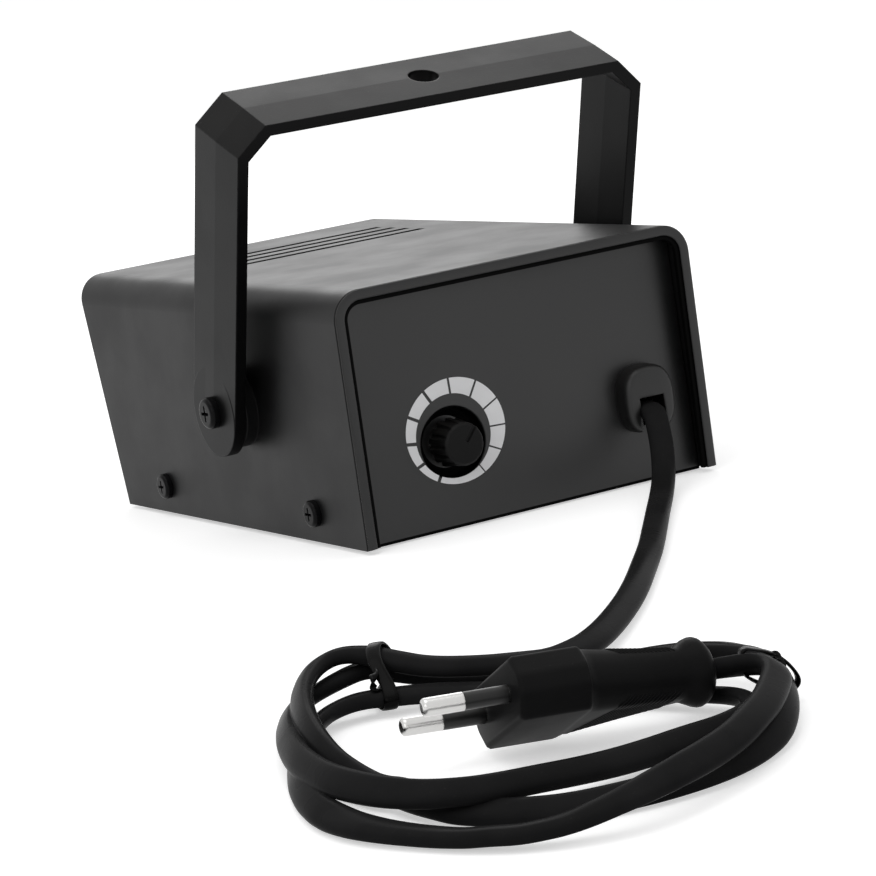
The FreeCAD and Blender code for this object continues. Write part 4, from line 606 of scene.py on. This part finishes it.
tie_points, tie_faces = joined([
    tie(141, 257, -28, 16, 1.5, [(146.0, 265.5, 9.5), (150.0, 269.5, 9.6), (151.0, 270.6, 7.4),
                                 (149.5, 270.2, 5.4), (146.5, 269.0, 4.2)]),
    tie(94.1, 349, -108, 5.5, 1.0, [(92.0, 347.5, 10.6), (93.0, 350.0, 10.5), (94.2, 352.8, 10.0),
                                    (95.2, 355.0, 9.5)]),
])
ties = mesh_piece("cord_twist_ties", tie_points * MM, tie_faces, tie_black, "housing", 45.0)
print("ties: %d faces, lowest %.2f mm" % (len(ties.data.polygons), tie_points[:, 2].min()))

# %% [markdown]
# ## The flat plug
# The moulded plug is one soft shape: a flat block with sloping shoulders, narrow sides that hollow in behind
# the block, and a mushroom collar at the cord. It is lofted: the same eight rounded corners are placed in
# thirty-two sections along the plug, so each section can change while the skin stays in one piece.

# %% Sections of the plug
PLUG_FACE, PLUG_TURN = (155.1, 337.3, 13.4), (-10.1, -3.4, 23.6)
GRIP_START, GRIP_LENGTH = -16.4, 24.2
# Sections of the block, as plug_section takes them, and x and radius of the collar's.
BLOCK = [(0.0, 16.5, 1.7, 13.2, 5.9, 1.0), (-0.25, 17.1, 1.9, 13.7, 6.45, 1.0),
         (-0.9, 17.5, 2.0, 14.0, 6.85, 1.0), (-8.0, 17.65, 2.0, 14.0, 6.85, 0.9),
         (-14.8, 17.65, 2.0, 14.0, 6.85, 0.9), (-15.4, 17.5, 2.1, 13.8, 6.82, 1.1),
         (-15.9, 16.6, 2.5, 13.0, 6.78, 1.6)]
COLLAR = [(-41.4, 6.4), (-42.3, 6.8), (-43.2, 7.25), (-44.1, 7.5), (-45.1, 7.5), (-46.1, 7.1), (-47.0, 6.3),
          (-47.7, 5.3), (-48.2, 4.2), (-48.4, 3.7)]
EVEN_EIGHTH = 0.414
plug_turn = Matrix.Identity(3)
for angle, axis in zip(PLUG_TURN, "ZYX"):
    plug_turn = plug_turn @ Matrix.Rotation(math.radians(angle), 3, axis)
plug_matrix = np.array(plug_turn)


def on_plug(points):
    """From the plug's own directions to the scene's, in millimetres."""
    return np.asarray(points) @ plug_matrix.T + np.array(PLUG_FACE)


def plug_section(x, half_width, end_flat, top_flat, thickness, rounding):
    """Rounded eight-cornered outline at x."""
    quarter = [(half_width, -end_flat), (half_width, end_flat), (top_flat, thickness), (-top_flat, thickness)]
    corners = np.array(quarter + [(-across, -high) for across, high in quarter])
    ring = []
    for k in range(8):
        here, before, after = corners[k], corners[k - 1], corners[(k + 1) % 8]
        start = here + (before - here) * min(0.46, rounding / max(0.1, np.linalg.norm(before - here)))
        stop = here + (after - here) * min(0.46, rounding / max(0.1, np.linalg.norm(after - here)))
        ring += [(1 - t) ** 2 * start + 2 * t * (1 - t) * here + t * t * stop
                 for t in (0.0, 0.25, 0.5, 0.75, 1.0)]
    return np.column_stack([np.full(len(ring), x), ring])


def grip_shape(t):
    """At share t: half width, half height of the side, half width of the flat face, half thickness."""
    width, thickness = 6.4 + 9.4 * (1 - t) ** 1.35, 6.75 * (1 - t) + 5.6 * t
    return width, thickness * (0.40 + 0.06 * t), width - thickness * (0.52 - 0.04 * t), thickness


sections = [plug_section(*numbers) for numbers in BLOCK]
sections += [plug_section(GRIP_START - t * GRIP_LENGTH, *grip_shape(t), 2.6)
             for t in (k / 14 for k in range(15))]
sections += [plug_section(x, radius, radius * EVEN_EIGHTH, radius * EVEN_EIGHTH, radius, radius * 0.5)
             for x, radius in COLLAR]
plug_points, plug_faces = on_plug(np.vstack(sections)), skin_faces(len(sections), len(sections[0]))
plug_skin = mesh_piece("flat_plug_body", plug_points * MM, plug_faces, plug_pvc, "housing", 38.0)
print("plug skin", len(plug_skin.data.polygons), "faces,", len(sections), "sections")

# %% [markdown]
# ## Grip ribs, by Geometry Nodes
# Fine slanting ribs cross both wide faces of the grip. Each rib is three copies of one small bar, because it
# follows the grip's section over both folds. One tree sets the bar on a list of points, which carry how each
# bar turns and how long it is. The bar itself is deleted once its copies are made.

# %% A tree that sets a part on every point
def set_on_points(name):
    """Tree: a copy of the object 'Part' on each point, turned by the point's 'turn', scaled by its 'size'."""
    tree = bpy.data.node_groups.new(name, "GeometryNodeTree")
    for label, kind in (("Geometry", "Geometry"), ("Part", "Object"), ("Finish", "Material"),
                        ("Spin spread", "Float"), ("Seed", "Int")):
        tree.interface.new_socket(label, in_out="INPUT", socket_type="NodeSocket" + kind)
    tree.interface.new_socket("Geometry", in_out="OUTPUT", socket_type="NodeSocketGeometry")
    add, link = tree.nodes.new, tree.links.new
    inlet, outlet = add("NodeGroupInput"), add("NodeGroupOutput")
    part = add("GeometryNodeObjectInfo")
    link(inlet.outputs["Part"], part.inputs["Object"])
    place = add("GeometryNodeInstanceOnPoints")
    link(inlet.outputs["Geometry"], place.inputs["Points"])
    link(part.outputs["Geometry"], place.inputs["Instance"])
    for name_on_point, entry in (("turn", "Rotation"), ("size", "Scale")):
        reader = add("GeometryNodeInputNamedAttribute")
        reader.data_type = "FLOAT_VECTOR"
        reader.inputs["Name"].default_value = name_on_point
        link(reader.outputs["Attribute"], place.inputs[entry])
    chance = add("FunctionNodeRandomValue")
    chance.data_type = "FLOAT"
    below = add("ShaderNodeMath")
    below.operation = "MULTIPLY"
    below.inputs[1].default_value = -1.0
    link(inlet.outputs["Spin spread"], below.inputs[0])
    sources = {"Min": below.outputs[0], "Max": inlet.outputs["Spin spread"], "Seed": inlet.outputs["Seed"]}
    for socket in [socket for socket in chance.inputs if socket.enabled and socket.name in sources]:
        link(sources[socket.name], socket)
    spin = add("ShaderNodeCombineXYZ")
    link([socket for socket in chance.outputs if socket.enabled][0], spin.inputs["Z"])
    roll = add("GeometryNodeRotateInstances")
    link(place.outputs["Instances"], roll.inputs["Instances"])
    link(spin.outputs[0], roll.inputs["Rotation"])
    real, finish = add("GeometryNodeRealizeInstances"), add("GeometryNodeSetMaterial")
    link(roll.outputs["Instances"], real.inputs["Geometry"])
    link(real.outputs["Geometry"], finish.inputs["Geometry"])
    link(inlet.outputs["Finish"], finish.inputs["Material"])
    link(finish.outputs["Geometry"], outlet.inputs["Geometry"])
    return tree


def set_row(name, tree, part, places, turns, sizes, finish, body, **values):
    """Runs the tree on a row of points and keeps the plain mesh as a piece."""
    carrier = bpy.data.meshes.new(name + "_points")
    carrier.from_pydata([tuple(p) for p in places], [], [])
    for label, rows in (("turn", turns), ("size", sizes)):
        attribute = carrier.attributes.new(label, "FLOAT_VECTOR", "POINT")
        attribute.data.foreach_set("vector", np.asarray(rows, float).ravel())
    holder = bpy.data.objects.new(name + "_points", carrier)
    scene.collection.objects.link(holder)
    modifier = holder.modifiers.new("set", "NODES")
    modifier.node_group = tree
    values.update(Part=part, Finish=finish)
    for item in tree.interface.items_tree:
        if item.in_out == "INPUT" and item.name.replace(" ", "_") in values:
            modifier[item.identifier] = values[item.name.replace(" ", "_")]
    made = plain_mesh(holder)
    bpy.data.objects.remove(holder)
    made.name = name
    made.shade_smooth()
    made.set_sharp_from_angle(angle=math.radians(38))
    piece = bpy.data.objects.new(name, made)
    scene.collection.objects.link(piece)
    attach(piece, body)
    return piece


# %% The ribs
RIBS, FIRST_RIB, RIB_STEP = 14, -20.6, 1.25
FOLD_SLANT, END_SLANT = 0.30, 0.42
BAR_STEPS, BAR_OUTLINE = 7, oval(8, 0.75, 0.85, 2.0)
bar_run = np.linspace(-1, 1, BAR_STEPS)
bar_ends = np.sqrt(np.clip(1 - (bar_run * 0.97) ** 6, 0.02, 1))
bar_rings = [np.column_stack([BAR_OUTLINE * narrow, np.full(8, z)]) for z, narrow in zip(bar_run, bar_ends)]
bar = mesh_piece("grip_bar", np.vstack(bar_rings) * MM, skin_faces(BAR_STEPS, 8), plug_pvc, None)
set_tree = set_on_points("set_on_points")
rows, turns, sizes = [], [], []


def lay_bar(start, stop):
    """Notes one bar that reaches from start to stop, both in the plug's own directions."""
    reach = Vector(on_plug([stop])[0] - on_plug([start])[0])
    rows.append(on_plug([(np.array(start) + np.array(stop)) / 2])[0] * MM)
    turns.append(tuple(reach.to_track_quat("Z", "Y").to_euler()))
    sizes.append((1, 1, reach.length / 2))


def grip_at(x):
    """The grip's shape at x."""
    return grip_shape(min(1, max(0, (GRIP_START - x) / GRIP_LENGTH)))


for side in (1, -1):
    for k in range(RIBS):
        x = FIRST_RIB - RIB_STEP * k
        wide_here, _, flat_here, _ = grip_at(x)
        line = []
        for hand in (-1, 1):
            fold = x - FOLD_SLANT * hand * flat_here
            _, _, fold_flat, fold_thick = grip_at(fold)
            end = x - END_SLANT * hand * wide_here
            width, foot, flat, thickness = grip_at(end)
            end_x, end_z = 0.5 * flat + 0.5 * width - 0.1, 0.5 * thickness + 0.5 * foot - 0.1
            pair = [(end, hand * end_x, side * end_z),
                    (fold, hand * (fold_flat - 0.6), side * (fold_thick - 0.22))]
            line += pair if hand < 0 else pair[::-1]
        for start, stop in zip(line, line[1:]):
            lay_bar(start, stop)
ribs = set_row("plug_grip_ribs", set_tree, bar, rows, turns, sizes, plug_pvc, "housing")
bpy.data.objects.remove(bar)
print("bars of the ribs", len(rows), "->", len(ribs.data.polygons), "faces")

# %% [markdown]
# ## Screw heads
# Six black pan-head screws hold the cover and carry the bracket. A head is a dome of revolution with a cross
# recess pressed into it, which a height rule gives directly. The same tree as above sets the heads on the
# CAD's screws, each turned by a little chance, as hand-driven screws are.

# %% A pan head
HEAD_LEVELS, HEAD_STEPS = 16, 64
RIM_HEIGHT, CROSS_LONG, CROSS_NARROW = 0.42, 0.56, 0.125


def pan_head(height, recess):
    """Dome of radius 1 with a cross recess, looking along +z; its rim is sunk 0.6 below z = 0."""
    circle = [(math.cos(a), math.sin(a)) for a in np.linspace(0, 2 * math.pi, HEAD_STEPS, endpoint=False)]
    points = [(0.985 * c, 0.985 * s, -0.6) for c, s in circle]
    for r in np.concatenate([[1.0], np.linspace(0.995, 0.04, HEAD_LEVELS)]):
        dome = 0.0 if r == 1.0 else (1 - RIM_HEIGHT) * math.sqrt(max(0.0, 1 - r ** 2.3))
        for x, y in ((r * c, r * s) for c, s in circle):
            arm = min(max(abs(a) / CROSS_LONG, abs(b) / CROSS_NARROW) for a, b in ((x, y), (y, x)))
            pressed = recess * min(1.0, max(0.0, (1.25 - arm) / 0.4))
            points.append((x, y, height * (RIM_HEIGHT + dome) - pressed))
    return np.array(points), skin_faces(HEAD_LEVELS + 2, HEAD_STEPS)


def facing(side, tilt=0.0):
    """Turn that points +z along +x or -x."""
    return tuple((Matrix.Rotation(side * math.pi / 2, 3, "Y") @ Matrix.Rotation(tilt, 3, "Z")).to_euler())


COVER_SIDE, PIVOT_SIDE, HEAD_INSET = 0.05905, 0.06805, 0.004
head_points, head_faces = pan_head(0.62, 0.42)
head = mesh_piece("pan_head", head_points * MM, head_faces, plug_pvc, None)
low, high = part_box("cover_screws")
head_z = (low[2] + high[2]) / 2
head_ys = (low[1] + HEAD_INSET, high[1] - HEAD_INSET)
places = [(side * COVER_SIDE, y, head_z) for side in (1, -1) for y in head_ys]
cover_heads = set_row("cover_screw_heads", set_tree, head, places, [facing(s, 0.3) for s in (1, 1, -1, -1)],
                      [(4.0, 4.0, 3.6)] * 4, screw_black, "housing", Spin_spread=0.6, Seed=7)
print("cover heads at", [[round(c / MM, 1) for c in p] for p in places])
low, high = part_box("pivot_screws")
places = [(side * PIVOT_SIDE, (low[1] + high[1]) / 2, (low[2] + high[2]) / 2) for side in (1, -1)]
pivot_heads = set_row("pivot_screw_heads", set_tree, head, places, [facing(1, 0.15), facing(-1, 0.5)],
                      [(4.8, 4.8, 4.4)] * 2, screw_black, "housing", Spin_spread=0.2, Seed=3)
print("pivot heads at", [[round(c / MM, 1) for c in p] for p in places])
bpy.data.objects.remove(head)
dress("cover_screws", screw_black)
dress("pivot_screws", screw_black)

# %% [markdown]
# ## The speed dial
# Eleven pale fields printed around the knob grow wider from slow to fast. They aren't true sectors: the inner
# edge is a circle, the outer one a slightly wider oval off its centre, and the gaps between fields open up on
# one side. Each field is a thin plate a tenth of a millimetre high, as thick silk-screen ink is.

# %% Printed fields
# Each gap: its place on the outer edge, its place on the inner edge, and its width. The places are measured
# ones, worked out by a separate program.
GAPS = [((22.8, 43.8), (22.7, 39.4), 0.75), ((13.9, 41.6), (16.5, 37.2), 0.7),
        ((8.0, 35.2), (12.9, 32.7), 0.55), ((6.5, 27.2), (12.0, 27.4), 0.5),
        ((9.1, 20.2), (12.6, 21.9), 0.5), ((15.5, 15.3), (17.0, 17.5), 0.45),
        ((30.4, 15.3), (29.9, 16.2), 1.1), ((36.4, 20.4), (34.5, 21.1), 1.0),
        ((39.2, 27.6), (36.1, 27.2), 1.05), ((37.3, 35.3), (34.3, 33.6), 0.95),
        ((31.2, 41.4), (29.4, 38.2), 0.95)]
OUTER, OUTER_RADII, INNER, INNER_RADIUS = (22.7, 28.5), (16.3, 15.4), (23.7, 27.2), 12.25
FIELD_STEPS, INK_FOOT, INK_TOP = 14, 0.01, 0.11
panel_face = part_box("rear_panel")[1][1] / MM


def field(first, second):
    """Outline of one printed field between two gaps: its outer points and its inner points."""
    def bearing(spot, centre, radii):
        return math.atan2((spot[1] - centre[1]) / radii[1], (spot[0] - centre[0]) / radii[0])
    limits = []
    for centre, radii, which in ((OUTER, OUTER_RADII, 0), (INNER, (INNER_RADIUS, INNER_RADIUS), 1)):
        start, stop = bearing(first[which], centre, radii), bearing(second[which], centre, radii)
        while stop < start:
            stop += 2 * math.pi
        start, stop = start + first[2] / 2 / radii[0], stop - second[2] / 2 / radii[0]
        limits.append([(centre[0] + radii[0] * math.cos(a), centre[1] + radii[1] * math.sin(a))
                       for a in np.linspace(start, stop, FIELD_STEPS)])
    return limits


def field_plate(outer, inner):
    """Points and faces of a thin plate on the panel, between an outer and an inner line."""
    ring = outer + inner[::-1]
    count = len(ring)
    points = [(x, panel_face + lift, z) for lift in (INK_FOOT, INK_TOP) for x, z in ring]
    quads = [(i, i + 1, count - 2 - i, count - 1 - i) for i in range(FIELD_STEPS - 1)]
    faces = [tuple(reversed(q)) for q in quads] + [tuple(count + v for v in q) for q in quads]
    faces += [(i, (i + 1) % count, count + (i + 1) % count, count + i) for i in range(count)]
    return np.array(points), faces


dial_parts = [field_plate(*field(gap, after)) for gap, after in zip(GAPS, GAPS[1:] + GAPS[:1])]
dial_points, dial_faces = joined(dial_parts)
dial_ink = opaque("dial_ink", (0.78, 0.78, 0.79), 0.55, grain_per_metre=3500, depth=0.000006,
                  edge_radius=0.00008, drift=0.05, dusty=0.05, gloss=0.3)
mesh_piece("speed_dial_print", dial_points * MM, dial_faces, dial_ink, "housing", 30.0)
print("dial fields", len(dial_parts), "panel face at y = %.2f mm" % panel_face)

# %% [markdown]
# ## The cover's rear edge
# A rounded bead runs around the rear edge of the cover, and just inside it a black lip is painted shade: it
# darkens the gap to the recessed panel. Both follow one path: the cover's outline, moved inward. The edge
# leans, so y depends on z. A thin line of the same painted shade runs straight along the foot of the panel.

# %% Edge bead, and painted shade in the gap
COVER_HALF, COVER_ROOF, COVER_HIGH, COVER_CORNER = 59.0, 75.2, 74.0, 8.6
REAR_TOP, REAR_LEAN, SIDE_FOOT, SIDE_TOP = 92.25, 1.5, 1.5, 66.0
ALONG_Y = np.array([0, 1.0, 0])


def edge_path(inward, back):
    """The rear edge as a line: up one side, round the corner, across the roof and down again."""
    centre_x, centre_z, radius = COVER_CORNER - COVER_HALF, COVER_ROOF - COVER_CORNER, COVER_CORNER - inward
    turn = np.linspace(math.pi, math.pi / 2, 12)
    corner = [(centre_x + radius * math.cos(a), centre_z + radius * math.sin(a)) for a in turn]
    left = [(inward - COVER_HALF, z) for z in np.linspace(SIDE_FOOT, SIDE_TOP, 12)] + corner
    roof = [(x, COVER_ROOF - inward) for x in np.linspace(-45, 45, 7)]
    line = left + roof + [(-x, z) for x, z in left[::-1]]
    return np.array([(x, REAR_TOP - REAR_LEAN * (COVER_ROOF - z) / COVER_HIGH - back, z) for x, z in line])


def edge_strip(inward, back, width, depth, power):
    """A strip along the rear edge, width across it and depth along y."""
    line = edge_path(inward, back)
    way = unit(np.gradient(line, axis=0) * np.array([1, 0, 1]))
    across = np.stack([way[:, 2], np.zeros(len(way)), -way[:, 0]], 1)
    return swept(line, across, np.tile(ALONG_Y, (len(line), 1)), oval(16, width, depth, power))


bead_points, bead_faces = edge_strip(1.47, -0.08, 2.95, 0.7, 3.0)
bead = mesh_piece("cover_edge_bead", bead_points * MM, bead_faces, edge_plastic, "housing", 35.0)
foot_line = np.array([(x, 84.75, 1.0) for x in np.linspace(-56.65, 56.65, 9)])
foot_strip = swept(foot_line, np.tile(UP, (9, 1)), np.tile(ALONG_Y, (9, 1)), oval(16, 0.9, 0.7, 4.0))
# The lip and the foot line are painted shade: black strips where the gap to the panel lies in shadow.
lip_points, lip_faces = joined([edge_strip(3.4, 1.2, 1.7, 1.8, 5.0), foot_strip])
gap_shade = mesh_piece("cover_edge_seal", lip_points * MM, lip_faces, seal_black, "housing", 35.0)
print("edge bead", len(bead.data.polygons), "faces, seal", len(gap_shade.data.polygons), "faces")

# %% [markdown]
# ## The strain relief
# The grip that holds the cord in the panel is a soft-edged button with a slot from below. One outline is
# drawn at several depths, full at the panel and smaller toward the front, so that the front edge rounds off.
# A short shank behind it passes through the panel.

# %% Strain relief
RELIEF_X, SLOT_HALF, SLOT_TOP, OUTLINE_STEPS = -39.8, 4.2, 26.4, 48
BUTTON_WIDE, BUTTON_HIGH, BUTTON_MIDDLE = 8.4, 10.15, 25.55
SHANK_WIDE, SHANK_HIGH, SHANK_MIDDLE = 5.7, 4.75, 22.3
# Each outline of the button: its y, and how far it is drawn in.
BUTTON_DEPTHS = [(84.93, 0.0), (87.2, 0.0), (89.2, 0.05), (90.2, 0.2), (90.9, 0.45), (91.4, 0.8),
                 (91.68, 1.2), (91.75, 1.5)]


def button_outline(y, wide, high, middle, power=2.7):
    """A squarish oval at depth y, open below, where the slot for the cord comes in."""
    lowest = math.acos((SLOT_HALF / wide) ** (power / 2))
    x, z = squarish(np.linspace(-lowest, math.pi + lowest, OUTLINE_STEPS), wide, high, power)
    ring = np.stack([x, np.full(OUTLINE_STEPS, y), middle + z], 1)
    slot = [(-SLOT_HALF, y, SLOT_TOP), (SLOT_HALF, y, SLOT_TOP)]
    return np.vstack([ring, slot]) + np.array([RELIEF_X, 0, 0])


def lofted(outlines):
    """Skin through outlines of equal length, closed at both ends."""
    return np.vstack(outlines), skin_faces(len(outlines), len(outlines[0]))


button = [button_outline(y, BUTTON_WIDE - inset, BUTTON_HIGH - inset, BUTTON_MIDDLE)
          for y, inset in BUTTON_DEPTHS]
shank = [button_outline(y, SHANK_WIDE, SHANK_HIGH, SHANK_MIDDLE) for y in (79.4, 82.0, 84.93)]
relief_points, relief_faces = joined([lofted(button), lofted(shank)])
relief = mesh_piece("cord_grip_button", relief_points * MM, relief_faces, relief_plastic, "housing", 32.0)
print("strain relief", len(relief.data.polygons), "faces")

# %% [markdown]
# ## The shadow in the knob's well
# The knob stands in a round well that lies deep in shade. A thin dished liner in matt near-black covers
# the CAD's wall, as painted shade. It is turned like a pot: a short outline carried round an axis.

# %% Painted shade in the well
KNOB_X, KNOB_Z, LINER_STEPS = 24.0, 25.2, 64
# Radius and y of each point of the liner's outline.
LINER_PROFILE = [(10.30, 84.86), (10.36, 84.6), (10.32, 82.0), (10.28, 80.5), (10.0, 80.12), (9.4, 80.02),
                 (7.6, 80.0), (7.6, 79.96), (10.2, 79.96), (10.39, 80.2), (10.39, 84.88)]
around = np.linspace(0, 2 * math.pi, LINER_STEPS, endpoint=False)
liner_points = [(KNOB_X + r * math.cos(a), y, KNOB_Z + r * math.sin(a))
                for r, y in LINER_PROFILE for a in around]
liner_faces = skin_faces(len(LINER_PROFILE), LINER_STEPS, closed=True)
well_shade = mesh_piece("knob_well_liner", np.array(liner_points) * MM, liner_faces, seal_black, "housing", 35.0)
print("well_shade", len(well_shade.data.polygons), "faces")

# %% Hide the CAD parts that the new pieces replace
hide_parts("cord_lead", "cord_coil", "cord_tail")
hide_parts("plug_body")
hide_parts("cord_ties")
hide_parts("strain_relief")
